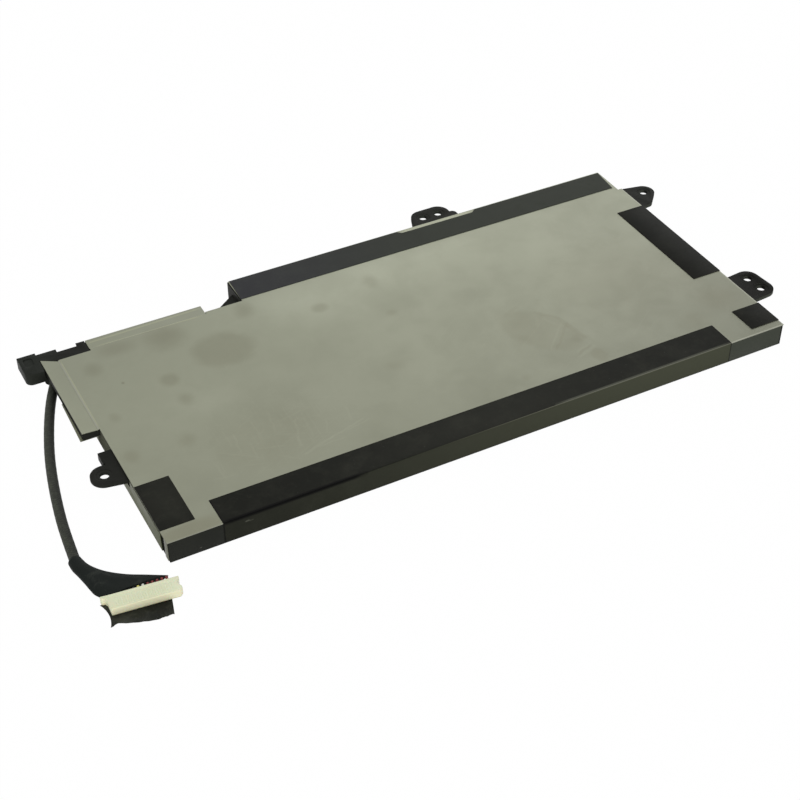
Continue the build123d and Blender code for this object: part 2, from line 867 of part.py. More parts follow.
# Lead. Its route is a list of places from the exit to the boot, with heights from the surface
lead_route = [
    (-0.5, -1.9, 2.30),
    (-3.3, -7.1, 1.90),
    (-6.8, -15.1, 1.77),
    (-10.6, -25.6, 1.77),
    (-14.4, -37.9, 1.77),
    (-17.3, -50.1, 1.77),
    (-19.6, -62.1, 1.77),
    (-21.4, -73.9, 1.77),
    (-22.4, -85.3, 1.77),
]
lead_points = [from_exit(*point) for point in lead_route]
runs = [(b - a).length for a, b in zip(lead_points, lead_points[1:])]
turns = [
    (b - a).get_angle(c - b) for a, b, c in zip(lead_points, lead_points[1:], lead_points[2:])
]
lead_radii = [
    0.45 * min(before, after) / tan(radians(turn) / 2)
    for before, after, turn in zip(runs, runs[1:], turns)
]
print("lead runs", [round(run, 1) for run in runs])
print("lead turns", [round(turn, 1) for turn in turns])
print("lead bend radii", [round(radius) for radius in lead_radii])

with BuildPart() as battery_lead:
    with BuildLine() as lead_line:
        FilletPolyline(*lead_points, radius=lead_radii)
    with BuildSketch(Plane(origin=lead_line.line @ 0, z_dir=lead_line.line % 0)):
        Circle(lead_diameter / 2)
    sweep()
lead_length = sum(edge.length for edge in lead_line.edges())
print("lead length", round(lead_length, 1))

with BuildPart() as lead_grommet:
    exit_plane = Plane(
        origin=place(lead_exit_x, housing_front, lead_exit_z), x_dir=(1, 0, 0), z_dir=(0, -1, 0)
    )
    with BuildSketch(exit_plane):
        Circle(lead_diameter / 2)
    extrude(amount=-wall - grommet_depth)
    with BuildSketch(exit_plane):
        Circle(lead_exit_z - floor_gap)
    extrude(amount=grommet_front)
    with BuildSketch(exit_plane.offset(grommet_front)) as neck_start:
        Circle(lead_diameter / 2 + neck_wall)
    with BuildSketch(Plane(origin=lead_line.line @ 0, x_dir=(1, 0, 0), z_dir=-(lead_line.line % 0))):
        Circle(lead_diameter / 2)
    loft()

# The wires inside the pack are taped into one square bundle
bundle_turn = (groove_left + channel_right) / 2
bundle_z = lead_exit_z - bundle_drop
groove_y = bay_rear + groove_depth - bundle_clearance - bundle_width / 2
with BuildPart() as inner_wires:
    with BuildLine() as bundle:
        FilletPolyline(
            place(lead_exit_x, housing_front + wall + grommet_depth, bundle_z),
            place(lead_exit_x, channel_centre, bundle_z),
            place(bundle_turn, channel_centre, bundle_z),
            place(bundle_turn, groove_y, bundle_z),
            place(header_centre, groove_y, bundle_z),
            place(header_centre, header_front, bundle_z),
            radius=bundle_bend,
        )
    with BuildSketch(Plane(origin=bundle.line @ 0, z_dir=bundle.line % 0)):
        Rectangle(bundle_width, bundle_width)
    sweep()

# Connector, in its own frame: x along its length, y from the mating side to the wires
connector = Plane(
    origin=from_exit(connector_place[0], connector_place[1], flap_thickness),
    x_dir=(cos(radians(connector_turn)), sin(radians(connector_turn)), 0),
    z_dir=(0, 0, 1),
)
first_way = (connector_length - (ways - 1) * pitch) / 2
way_places = [first_way + i * pitch for i in range(ways)]

with BuildPart() as connector_housing:
    with BuildSketch(connector) as plan:
        with BuildLine():
            Polyline(
                *left_hook,
                (0, -connector_depth),
                (connector_length, -connector_depth),
                *[(connector_length + x, y - connector_depth) for x, y in right_hook],
                *[(connector_length + x, y) for x, y in right_horn],
                close=True,
            )
        make_face()
    extrude(amount=connector_height)
    fillet(connector_housing.edges().filter_by(Axis.Z), hook_radius)
    with BuildSketch(connector.offset(connector_height)):
        for x in way_places:
            window_front = window_setback - connector_depth
            rectangle_between(
                (x - window_width / 2, window_front), (x + window_width / 2, window_front + window_length)
            )
    extrude(amount=-window_depth, mode=Mode.SUBTRACT)
    with BuildSketch(connector.offset(cavity_height - cavity / 2)):
        for x in way_places:
            rectangle_between((x - cavity / 2, -connector_depth), (x + cavity / 2, 0))
    extrude(amount=cavity, mode=Mode.SUBTRACT)

with BuildPart() as connector_contacts:
    with BuildSketch(connector.offset(cavity_height - cavity / 2)):
        for x in way_places:
            rectangle_between(
                (x - contact_width / 2, -wire_insertion - contact_gap - contact_length),
                (x + contact_width / 2, -wire_insertion - contact_gap),
            )
    extrude(amount=contact_thickness)


# Slanted face of the boot, nearer to the connector at its left end
boot_left_end = connector.from_local_coords((0, boot_gap_left, cavity_height))
boot_right_end = connector.from_local_coords((connector_length, boot_gap_right, cavity_height))
boot_x_dir = (boot_right_end - boot_left_end).normalized()
boot_face = Plane(
    origin=(boot_left_end + boot_right_end) / 2 - boot_x_dir * boot_shift,
    x_dir=boot_x_dir,
    z_dir=boot_x_dir.cross(Vector(0, 0, 1)),
)


def wire_group(first, last):
    """Straight wires of neighbouring ways, from the boot's face into the connector."""
    wire_start = Plane(
        origin=connector.from_local_coords((0, 2 * boot_gap_right, cavity_height)),
        x_dir=connector.x_dir,
        z_dir=-connector.y_dir,
    )
    with BuildPart() as group:
        with BuildSketch(wire_start):
            with Locations(*[(x, 0) for x in way_places[first:last]]):
                Circle(wire_diameter / 2)
        extrude(amount=2 * boot_gap_right + wire_insertion)
        split(bisect_by=boot_face, keep=Keep.TOP)
    return group


black_wires = wire_group(0, 5)
yellow_wire = wire_group(5, 6)
white_wire = wire_group(6, 7)
red_wires = wire_group(7, ways)



def boot_section(plane, width, height):
    """Many-sided oval on a plane, one section of the folded boot."""
    angles = [2 * pi * i / boot_sides for i in range(boot_sides)]
    with BuildSketch(plane) as section:
        with BuildLine():
            Polyline(*[(width / 2 * cos(a), height / 2 * sin(a)) for a in angles], close=True)
        make_face()
    return section.sketch


# Boot: sections from the round sleeve to the wide row of wires
boot_sections = [
    ((-21.95, -91.1, 1.76), (0.06, -1.0), 4.8, 3.45),
    ((-20.1, -97.1, 1.70), (0.22, -0.97), 6.8, 3.3),
    ((-17.3, -101.3, 1.68), (0.34, -0.94), 10.6, 3.05),
]
with BuildPart() as lead_boot:
    sleeve_end = Plane(origin=lead_line.line @ 1, x_dir=(1, 0, 0), z_dir=lead_line.line % 1)
    sections = [boot_section(sleeve_end, lead_diameter, lead_diameter)]
    for middle, heading, width, height in boot_sections:
        z_dir = Vector(heading[0], heading[1], 0)
        x_dir = Vector(-heading[1], heading[0], 0)
        section_plane = Plane(origin=from_exit(*middle), x_dir=x_dir, z_dir=z_dir)
        sections.append(boot_section(section_plane, width, height))
    narrow_end = boot_end_width - boot_end_straight
    sections.append(boot_section(boot_face.offset(-boot_end_straight), narrow_end, boot_end_height))
    sections.append(boot_section(boot_face, boot_end_width, boot_end_height))
    loft(sections=sections, ruled=True)
    split(bisect_by=boot_face, keep=Keep.BOTTOM)

with BuildPart() as connector_flap:
    with BuildSketch(connector.offset(-flap_thickness)):
        with BuildLine():
            Polyline(
                (-flap_margin, -flap_margin),
                *[(x, -connector_depth - y) for x, y in flap_edge],
                (flap_right, -flap_margin),
                close=True,
            )
        make_face()
    extrude(amount=flap_thickness)

pieces = {
    "frame": frame,
    "bottom_tray": bottom_tray,
    "top_plate": top_plate,
    "cell_adhesives": cell_adhesives,
    "foam_strips": foam_strips,
    "cell_tabs": cell_tabs,
    "negative_wire": negative_wire,
    "protection_board": protection_board,
    "power_switches": power_switches,
    "gauge_chip": gauge_chip,
    "sense_resistor": sense_resistor,
    "board_fuse": board_fuse,
    "board_capacitors": board_capacitors,
    "lead_header": lead_header,
    "board_film": board_film,
    "thermistor": thermistor,
    "front_tape": front_tape,
    "back_tape": back_tape,
    "left_tape": left_tape,
    "right_tape_long": right_tape_long,
    "right_tape_short": right_tape_short,
    "battery_lead": battery_lead,
    "lead_grommet": lead_grommet,
    "inner_wires": inner_wires,
    "connector_housing": connector_housing,
    "connector_contacts": connector_contacts,
    "black_wires": black_wires,
    "yellow_wire": yellow_wire,
    "white_wire": white_wire,
    "red_wires": red_wires,
    "lead_boot": lead_boot,
    "connector_flap": connector_flap,
}
for name, piece in pieces.items():
    export(piece, name)
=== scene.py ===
import math
import bmesh
import bpy
import numpy as np
from mathutils import Matrix, Vector


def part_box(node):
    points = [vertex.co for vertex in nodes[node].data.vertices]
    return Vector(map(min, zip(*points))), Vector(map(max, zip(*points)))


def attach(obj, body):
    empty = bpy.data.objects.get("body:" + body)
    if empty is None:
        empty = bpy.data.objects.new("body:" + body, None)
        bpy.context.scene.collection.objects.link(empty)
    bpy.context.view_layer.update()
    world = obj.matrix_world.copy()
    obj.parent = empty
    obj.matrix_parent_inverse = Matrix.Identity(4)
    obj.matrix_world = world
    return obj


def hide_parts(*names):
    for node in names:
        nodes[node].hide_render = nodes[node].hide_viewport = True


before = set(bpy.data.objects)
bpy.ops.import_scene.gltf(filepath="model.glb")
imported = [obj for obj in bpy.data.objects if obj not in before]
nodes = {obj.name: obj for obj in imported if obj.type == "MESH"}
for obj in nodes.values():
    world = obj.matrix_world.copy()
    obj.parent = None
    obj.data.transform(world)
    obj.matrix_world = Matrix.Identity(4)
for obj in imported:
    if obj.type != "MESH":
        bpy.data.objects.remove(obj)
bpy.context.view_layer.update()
mm = 0.001
print("frame loaded:", len(nodes), "nodes")

# Places are measured in millimetres from the cover's front left corner, as the pack was drawn
coverLength = 236.0
coverTop = 8.5
coverLow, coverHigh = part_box("top_plate")
cornerX = coverHigh.x - coverLength * mm
cornerY = coverLow.y


def place(x, y, z):
    return Vector((cornerX + x * mm, cornerY + y * mm, z * mm))


def placeArray(points):
    # the same shift for a whole array of points
    return np.asarray(points, float) * mm + np.array([cornerX, cornerY, 0.0])


# Camera

camera = {
    "place": (-95.37, -331.21, 346.03),
    "forward": (0.36014, 0.67903, -0.63970),
    "right": (0.88344, -0.46855, 0.0),
    "focalPixels": 1563.2,
    "imagePixels": 800,
    "sensor": 36.0,
    "nearest": 0.01,
    "farthest": 20.0,
}


def makeCamera(c):
    # the camera's axes are the right, up and backward directions as the columns of its matrix
    forward = Vector(c["forward"]).normalized()
    right = Vector(c["right"]).normalized()
    up = right.cross(forward)
    data = bpy.data.cameras.new("camera")
    data.sensor_width = c["sensor"]
    data.lens = c["sensor"] * c["focalPixels"] / c["imagePixels"]
    data.clip_start = c["nearest"]
    data.clip_end = c["farthest"]
    eye = bpy.data.objects.new("camera", data)
    turn = Matrix((right, up, -forward)).transposed().to_4x4()
    eye.matrix_world = Matrix.Translation(place(*c["place"])) @ turn
    bpy.context.scene.collection.objects.link(eye)
    bpy.context.scene.camera = eye


makeCamera(camera)
print("camera set")


# Node helpers

def addNode(tree, kind, **values):
    node = tree.nodes.new(kind)
    for key, value in values.items():
        setattr(node, key, value)
    return node


def put(tree, value, socket):
    # gives an input another node's output, a number, a vector or an RGB triple
    if isinstance(value, bpy.types.NodeSocket):
        tree.links.new(value, socket)
    elif socket.type == "RGBA":
        socket.default_value = (*value, 1.0)
    else:
        socket.default_value = value


def feed(tree, node, **values):
    # the same for inputs by name, where an underscore stands for a space
    for key, value in values.items():
        put(tree, value, node.inputs[key.replace("_", " ")])
    return node


def math2(tree, operation, a, b=0.0, clamp=False):
    # one arithmetic step, where each of a and b is a socket or a number
    node = addNode(tree, "ShaderNodeMath", operation=operation, use_clamp=clamp)
    put(tree, a, node.inputs[0])
    put(tree, b, node.inputs[1])
    return node.outputs[0]


def times(tree, a, b):
    return math2(tree, "MULTIPLY", a, b)


def plus(tree, a, b):
    return math2(tree, "ADD", a, b)


def vector2(tree, operation, a, b=None, result="Vector"):
    # one step of vector arithmetic, where each of a and b is a socket or a triple
    node = addNode(tree, "ShaderNodeVectorMath", operation=operation)
    put(tree, a, node.inputs[0])
    if b is not None:
        put(tree, b, node.inputs[1])
    return node.outputs[result]


def rampOf(tree, value, low, high, toLow=0.0, toHigh=1.0):
    # a smooth step of a value between two limits
    node = addNode(tree, "ShaderNodeMapRange", interpolation_type="SMOOTHSTEP")
    feed(tree, node, Value=value, From_Min=low, From_Max=high, To_Min=toLow, To_Max=toHigh)
    return node.outputs["Result"]


def noiseOf(tree, vector, scale, detail=3.0, roughness=0.5, distortion=0.0):
    node = addNode(tree, "ShaderNodeTexNoise")
    feed(tree, node, Vector=vector, Scale=scale, Detail=detail, Roughness=roughness, Distortion=distortion)
    return node.outputs["Fac"]


def mixColour(tree, factor, first, second):
    # blends two colours, where each is a socket or an RGB triple
    node = addNode(tree, "ShaderNodeMix", data_type="RGBA", blend_type="MIX")
    for number, value in ((0, factor), (6, first), (7, second)):
        put(tree, value, node.inputs[number])
    return node.outputs[2]


def tinted(tree, mask, strength, colour, tint):
    # a colour with a tint laid over it where a mask is, at a strength
    return mixColour(tree, times(tree, mask, strength), colour, tint)


def partsOf(tree, vector):
    return feed(tree, addNode(tree, "ShaderNodeSeparateXYZ"), Vector=vector).outputs


def facingOf(tree, normal="True Normal"):
    # the direction that a face looks in, as its three parts
    return partsOf(tree, addNode(tree, "ShaderNodeNewGeometry").outputs[normal])


def objectVector(tree):
    return addNode(tree, "ShaderNodeTexCoord").outputs["Object"]


def mapped(tree, vector, kind, **values):
    mapping = addNode(tree, "ShaderNodeMapping", vector_type=kind)
    return feed(tree, mapping, Vector=vector, **values).outputs["Vector"]


def newGroup(name, inputs, outputs):
    # an effect that materials share: a vector, further inputs with their defaults, and masks or values out
    tree = bpy.data.node_groups.new(name, "ShaderNodeTree")
    tree.interface.new_socket("Vector", in_out="INPUT", socket_type="NodeSocketVector")
    for label, value in inputs.items():
        kind = "NodeSocketVector" if isinstance(value, tuple) else "NodeSocketFloat"
        tree.interface.new_socket(label, in_out="INPUT", socket_type=kind).default_value = value
    for label in outputs:
        tree.interface.new_socket(label, in_out="OUTPUT", socket_type="NodeSocketFloat")
    source = tree.nodes.new("NodeGroupInput").outputs
    return tree, source, tree.nodes.new("NodeGroupOutput")


def useGroup(tree, group, vector, **values):
    node = addNode(tree, "ShaderNodeGroup", node_tree=group)
    return feed(tree, node, Vector=vector, **values).outputs


def newMaterial(name):
    material = bpy.data.materials.new(name)
    material.use_nodes = True
    tree = material.node_tree
    return material, tree, tree.nodes["Principled BSDF"]


def addBump(tree, shader, height, strength, distance, previous=None):
    bump = addNode(tree, "ShaderNodeBump")
    feed(tree, bump, Height=height, Strength=strength, Distance=distance)
    if previous is not None:
        feed(tree, bump, Normal=previous)
    feed(tree, shader, Normal=bump.outputs["Normal"])
    return bump.outputs["Normal"]


# Shared effects

def makeMouldGrain():
    # two sizes of noise: the fine spark-eroded skin of moulded plastic and its slow cloudiness
    tree, source, sink = newGroup("mouldGrain", {"Scale": 2600.0}, ["Height", "Cloud"])
    fine = noiseOf(tree, source["Vector"], source["Scale"], detail=2.0, roughness=0.6)
    cloud = noiseOf(tree, source["Vector"], 45.0, detail=4.0)
    feed(tree, sink, Height=fine, Cloud=rampOf(tree, cloud, 0.35, 0.7))
    return tree


def makeSoftStain():
    # distance from a centre, divided by the stain's size and wobbled by noise, then a smooth step. A node
    # is made after the one that feeds it, or the cover's material grows too large and renders black
    inputs = {"Centre": (0.0, 0.0, 0.0), "Size": (0.01, 0.01, 1.0), "Edge": 0.4, "Wobble": 0.3, "Turn": 0.0}
    tree, source, sink = newGroup("softStain", inputs, ["Mask"])
    offset = vector2(tree, "SUBTRACT", source["Vector"], source["Centre"])
    turned = addNode(tree, "ShaderNodeVectorRotate", rotation_type="Z_AXIS")
    feed(tree, turned, Vector=offset, Angle=times(tree, source["Turn"], -1.0))
    scaled = vector2(tree, "DIVIDE", turned.outputs["Vector"], source["Size"])
    length = vector2(tree, "LENGTH", vector2(tree, "MULTIPLY", scaled, (1.0, 1.0, 0.0)), result="Value")
    wobble = math2(tree, "SUBTRACT", noiseOf(tree, source["Vector"], 110.0, 4.0, 0.6), 0.5)
    reach = plus(tree, length, times(tree, wobble, source["Wobble"]))
    inner = math2(tree, "SUBTRACT", 1.0, source["Edge"])
    feed(tree, sink, Mask=rampOf(tree, reach, inner, 1.0, 1.0, 0.0))
    return tree


def makeSoftLine():
    # distance from the straight line between two places, as a smooth step that fades towards both ends
    inputs = {"Start": (0.0, 0.0, 0.0), "Run": (0.01, 0.0, 0.0), "Half": 0.0005}
    tree, source, sink = newGroup("softLine", inputs, ["Mask"])
    away = vector2(tree, "SUBTRACT", source["Vector"], source["Start"])
    shadow = vector2(tree, "DOT_PRODUCT", away, source["Run"], "Value")
    whole = vector2(tree, "DOT_PRODUCT", source["Run"], source["Run"], "Value")
    along = math2(tree, "DIVIDE", shadow, whole, clamp=True)
    nearest = addNode(tree, "ShaderNodeVectorMath", operation="SCALE")
    put(tree, source["Run"], nearest.inputs[0])
    feed(tree, nearest, Scale=along)
    gap = vector2(tree, "DISTANCE", away, nearest.outputs[0], "Value")
    body = rampOf(tree, math2(tree, "DIVIDE", gap, source["Half"]), 0.25, 1.0, 1.0, 0.0)
    ends = times(tree, along, math2(tree, "SUBTRACT", 1.0, along))
    feed(tree, sink, Mask=times(tree, body, rampOf(tree, ends, 0.0, 0.08, 0.35, 1.0)))
    return tree


def makeFineDust():
    # small far-apart spots: the core of each cell of a Voronoi pattern, kept where a coarse noise is high
    tree, source, sink = newGroup("fineDust", {"Scale": 420.0, "Amount": 0.5}, ["Mask"])
    spots = addNode(tree, "ShaderNodeTexVoronoi", feature="F1")
    feed(tree, spots, Vector=source["Vector"], Scale=source["Scale"])
    core = rampOf(tree, spots.outputs["Distance"], 0.06, 0.16, 1.0, 0.0)
    patch = rampOf(tree, noiseOf(tree, source["Vector"], 160.0, 2.0), 0.52, 0.66)
    feed(tree, sink, Mask=times(tree, times(tree, core, patch), source["Amount"]))
    return tree


def makeRolledGrain():
    # noise stretched along one direction, as the rolls leave it on sheet metal, with hairline scratches
    tree, source, sink = newGroup("rolledGrain", {"Stretch": (18.0, 1.0, 1.0)}, ["Height", "Scratch"])
    stretched = vector2(tree, "DIVIDE", source["Vector"], source["Stretch"])
    lines = noiseOf(tree, stretched, 5200.0, 2.0, 0.7)
    heading = {"Rotation": (0.0, 0.0, 0.62), "Scale": (110.0 * mm, 2.6 * mm, 1.0)}
    hair = noiseOf(tree, mapped(tree, source["Vector"], "TEXTURE", **heading), 1.6, 1.0, 0.4)
    band = rampOf(tree, math2(tree, "ABSOLUTE", math2(tree, "SUBTRACT", hair, 0.5)), 0.0, 0.006, 1.0, 0.0)
    patch = rampOf(tree, noiseOf(tree, source["Vector"], 34.0, 2.0), 0.5, 0.62)
    feed(tree, sink, Height=lines, Scratch=times(tree, band, patch))
    return tree


def makeWipeMarks():
    # fine long streaks at different headings, as a cloth leaves them, and the soft cloud of what it wiped
    tree, source, sink = newGroup("wipeMarks", {}, ["Streak", "Mottle"])
    streakLength = 13.0 * mm
    headings = ((0.45, 0.9, 0.0), (-0.35, 1.1, 0.31), (1.5, 1.0, 0.77))  # turn, width in mm and shift
    total = 0.0
    for turn, across, shift in headings:
        # the texture kind of mapping turns first and then divides, so the streaks follow their heading
        lay = mapped(
            tree, source["Vector"], "TEXTURE", Rotation=(0.0, 0.0, turn),
            Scale=(streakLength, across * mm, 1.0), Location=(shift, shift * 2, 0.0),
        )
        total = plus(tree, total, rampOf(tree, noiseOf(tree, lay, 1.0, 3.0, 0.6, 0.9), 0.54, 0.72))
    blotch = noiseOf(tree, source["Vector"], 75.0, 5.0, 0.6, 0.25)
    feed(tree, sink, Streak=total, Mottle=rampOf(tree, blotch, 0.36, 0.68))
    return tree


def makeFilmCrease():
    # slow swells and sharper creases of a thin adhesive film
    tree, source, sink = newGroup("filmCrease", {"Scale": 90.0}, ["Height", "Scuff"])
    swell = noiseOf(tree, source["Vector"], source["Scale"], 3.0, 0.45, 0.4)
    fine = noiseOf(tree, source["Vector"], 1900.0, 2.0, 0.6)
    scuff = noiseOf(tree, source["Vector"], 240.0, 5.0, 0.7, 0.8)
    feed(tree, sink, Height=plus(tree, swell, times(tree, fine, 0.16)), Scuff=rampOf(tree, scuff, 0.5, 0.78))
    return tree


def makeSleeveWeave():
    # crossing diagonal threads of a braided sleeve, from the tube's own along and around coordinates
    tree, source, sink = newGroup("sleeveWeave", {}, ["Height", "Mottle"])
    parts = partsOf(tree, source["Vector"])
    along = times(tree, parts["X"], 2 * math.pi)
    around = times(tree, parts["Y"], 2 * math.pi)
    left = math2(tree, "SINE", plus(tree, along, around))
    right = math2(tree, "SINE", math2(tree, "SUBTRACT", along, around))
    height = plus(tree, times(tree, plus(tree, left, right), 0.25), 0.5)
    mottle = noiseOf(tree, source["Vector"], 0.9, 4.0, 0.65)
    feed(tree, sink, Height=height, Mottle=rampOf(tree, mottle, 0.42, 0.68))
    return tree


def makeWallSheen():
    # painted reflection: faces that look forwards, more at the right, where they mirror the bright table,
    # and apart from them the rolled edge above, for a painted highlight at the right and painted shade at
    # the left
    tree, source, sink = newGroup("wallSheen", {}, ["Mask", "Crease", "Roll"])
    forwards = times(tree, facingOf(tree)["Y"], -1.0)
    rolled = times(tree, rampOf(tree, forwards, 0.3, 0.6), rampOf(tree, forwards, 0.8, 0.97, 1.0, 0.0))
    across = partsOf(tree, source["Vector"])["X"]
    mask = times(tree, rampOf(tree, forwards, 0.5, 0.9), rampOf(tree, across, -0.105, 0.085, 0.17, 1.0))
    feed(tree, sink, Mask=mask, Crease=times(tree, rolled, rampOf(tree, across, -0.04, 0.06)), Roll=rolled)
    return tree


wallSheen = makeWallSheen()
mouldGrain = makeMouldGrain()
softStain = makeSoftStain()
softLine = makeSoftLine()
fineDust = makeFineDust()
rolledGrain = makeRolledGrain()
wipeMarks = makeWipeMarks()
filmCrease = makeFilmCrease()
sleeveWeave = makeSleeveWeave()
print("shared effects ready")


def stainMask(tree, vector, x, y, width, depth, edge, wobble, turn=0.0):
    # a soft oval: its centre, half width, half depth, softness of edge, wobble and turn
    return useGroup(
        tree, softStain, vector, Centre=tuple(place(x, y, 0)), Size=(width * mm, depth * mm, 1.0),
        Edge=edge, Wobble=wobble, Turn=turn,
    )["Mask"]


def drawStains(tree, vector, colour, stains, tint):
    # soft ovals, each with its strength and, where it is turned, its angle
    for x, y, width, depth, edge, wobble, strength, *turn in stains:
        mask = stainMask(tree, vector, x, y, width, depth, edge, wobble, *turn)
        colour = tinted(tree, mask, strength, colour, tint)
    return colour


def drawLines(tree, vector, colour, lines, tint):
    # soft strokes: both ends, half width and strength
    for x1, y1, z1, x2, y2, z2, half, strength in lines:
        start = place(x1, y1, z1)
        run = place(x2, y2, z2) - start
        stroke = useGroup(tree, softLine, vector, Start=tuple(start), Run=tuple(run), Half=half * mm)
        colour = tinted(tree, stroke["Mask"], strength, colour, tint)
    return colour


def onCover(strokes):
    # strokes that lie flat on the cover: x and y of both ends, half width and strength
    z = coverTop
    return [(x1, y1, z, x2, y2, z, half, strength) for x1, y1, x2, y2, half, strength in strokes]


def unsteady(tree, vector, scale, amount):
    # the same coordinates pushed about by noise, so that strokes aren't ruler-straight
    noise = feed(tree, addNode(tree, "ShaderNodeTexNoise"), Vector=vector, Scale=scale)
    centred = vector2(tree, "SUBTRACT", noise.outputs["Color"], (0.5, 0.5, 0.5))
    pushed = addNode(tree, "ShaderNodeVectorMath", operation="MULTIPLY_ADD")
    for number, value in enumerate((centred, (amount * mm, amount * mm, 0.0), vector)):
        put(tree, value, pushed.inputs[number])
    return pushed.outputs[0]


# Materials

coverFinish = {
    "front": (0.192, 0.198, 0.150),
    "rear": (0.250, 0.260, 0.196),
    "stain": (0.158, 0.155, 0.108),
    "light": (0.310, 0.322, 0.250),
    # the colour of the hairline scratches and of the painted highlight on the pressed step and the edges
    "edge": (0.36, 0.365, 0.30),
    "fold": (0.36, 0.37, 0.25),
    "rim": (0.38, 0.39, 0.29),
    "dust": (0.5, 0.5, 0.45),
    "leftSideShade": (0.085, 0.088, 0.055),
    "roughness": 0.34,
    "metallic": 0.85,
    "grainBump": (0.10, 0.00002),
    "waveBump": (0.25, 0.0006),
    # centre x and y, half width and half depth, edge, wobble and strength of each stain, in millimetres
    "stains": [
        (53.0, 81.0, 13.8, 11.6, 0.38, 0.46, 0.36), (93.6, 87.1, 4.6, 3.8, 0.7, 0.6, 0.36),
        (30.0, 73.5, 4.6, 4.6, 0.7, 0.6, 0.42), (31.0, 61.4, 4.2, 4.8, 0.9, 0.8, 0.38),
        (23.6, 41.6, 4.6, 5.2, 0.9, 0.8, 0.34), (37.3, 96.7, 11.0, 11.0, 0.9, 0.5, 0.46),
        (20.0, 99.0, 11.0, 6.5, 0.9, 0.5, 0.36), (68.7, 98.5, 5.6, 7.8, 0.9, 0.7, 0.40),
        (117.2, 93.4, 4.2, 6.8, 0.9, 0.7, 0.30), (115.4, 72.1, 3.2, 3.2, 0.9, 0.6, 0.32),
        (157.0, 38.0, 19.4, 10.6, 0.28, 0.34, 0.24, -1.045), (148.7, 35.5, 5.0, 4.4, 0.7, 0.5, 0.16),
        (166.8, 28.0, 3.6, 3.4, 0.7, 0.5, 0.24), (154.5, 46.0, 5.2, 6.0, 0.9, 0.5, 0.12),
        (168.0, 16.4, 3.6, 4.8, 0.5, 0.4, 0.34), (203.0, 52.0, 46.0, 40.0, 1.0, 0.2, 0.26),
        (48.0, 29.0, 27.0, 20.0, 0.8, 0.35, 0.18), (15.2, 79.5, 0.8, 0.9, 0.6, 0.0, 0.6),
        (4.6, 41.9, 4.2, 5.2, 0.9, 0.7, 0.36), (6.5, 63.5, 3.0, 3.8, 0.9, 0.7, 0.30),
        (8.4, 91.2, 5.0, 5.5, 0.9, 0.5, 0.36), (102.0, 44.7, 5.6, 4.4, 0.9, 0.6, 0.22),
        (138.5, 17.5, 2.8, 2.6, 0.9, 0.5, 0.26), (226.0, 24.0, 14.0, 12.5, 1.0, 0.2, 0.50),
        (209.5, 17.1, 11.0, 8.0, 1.0, 0.3, 0.26), (9.0, 2.0, 16.0, 5.5, 0.6, 0.3, 0.55),
    ],
    # the same numbers for soft lighter patches; the two at the middle of the rear are a painted highlight
    "paleCloudsAndHighlight": [
        (84.0, 98.0, 17.0, 13.0, 1.0, 0.3, 0.54), (99.0, 97.0, 62.0, 28.0, 1.0, 0.2, 0.60),
        (38.0, 56.0, 18.0, 9.0, 1.0, 0.4, 0.22), (140.0, 106.0, 50.0, 28.0, 1.0, 0.3, 0.34),
        (30.0, 60.0, 26.0, 20.0, 1.0, 0.3, 0.08),
    ],
    # light strokes that a cloth has left: x and y of both ends, half width and strength
    "wipes": [
        (53.9, 17.2, 66.8, 20.9, 0.7, 0.12), (65.0, 20.4, 80.2, 24.7, 0.7, 0.12),
        (71.7, 21.3, 81.0, 23.2, 0.6, 0.10), (60.1, 18.4, 69.8, 18.8, 0.6, 0.08),
        (37.7, 36.9, 36.8, 27.3, 0.6, 0.08), (52.5, 41.7, 50.6, 31.8, 0.6, 0.08),
        (59.4, 35.2, 54.7, 21.2, 0.6, 0.08), (77.1, 33.4, 75.7, 25.4, 0.6, 0.07),
        (49.9, 30.4, 59.7, 26.4, 0.6, 0.06), (23.2, 20.0, 31.2, 18.4, 0.6, 0.06),
        (35.5, 40.9, 35.1, 31.6, 0.6, 0.06), (45.7, 41.3, 45.1, 30.2, 0.6, 0.06),
        (42.0, 27.0, 51.0, 24.0, 0.6, 0.06), (30.0, 31.0, 42.0, 22.0, 0.6, 0.06),
        (47.0, 21.0, 53.0, 15.0, 0.6, 0.06), (62.0, 33.0, 61.0, 24.0, 0.6, 0.06),
        (68.0, 30.0, 66.0, 23.5, 0.6, 0.06), (27.0, 27.0, 27.5, 18.0, 0.6, 0.06),
        (52.0, 36.0, 66.0, 38.0, 0.6, 0.06),
    ],
    # the light ribs of a palm's print and its dark rim
    "palmLines": [
        (166.6, 38.5, 161.5, 33.8, 0.7, 0.07), (161.9, 34.2, 154.3, 26.5, 0.7, 0.08),
        (169.0, 23.6, 161.5, 21.2, 0.6, 0.08), (169.8, 21.4, 160.5, 18.5, 1.1, 0.10),
        (161.4, 43.6, 164.2, 37.4, 0.9, 0.05), (157.5, 40.5, 160.0, 45.0, 0.9, 0.04),
    ],
    "palmRim": [
        (160.2, 48.7, 166.5, 41.2, 1.3, 0.24), (166.2, 41.6, 167.6, 34.5, 1.5, 0.24),
        (167.3, 36.1, 169.6, 26.0, 1.5, 0.20), (168.0, 37.3, 163.0, 32.2, 0.8, 0.24),
        (163.2, 32.6, 155.8, 25.0, 0.8, 0.24), (168.2, 22.4, 161.2, 19.9, 0.7, 0.26),
        (150.0, 51.0, 157.0, 54.0, 1.4, 0.16),
    ],
    # painted highlights along the folds of the flanges, with the height of both ends
    "folds": [
        (14.0, 103.8, 8.45, 53.6, 102.9, 8.45, 0.8, 0.55), (11.0, 107.0, 8.05, 55.4, 107.7, 8.05, 0.7, 0.45),
        (0.1, 101.6, 8.4, 0.0, 60.9, 8.4, 0.40, 0.55),
    ],
    "rearRim": [(142.5, 116.8, 174.5, 116.8, 1.1, 0.6)],
    "shake": (260.0, 1.6),
    "wiped": (52.0, 32.0, 42.0, 30.0, 0.8, 0.3),
}


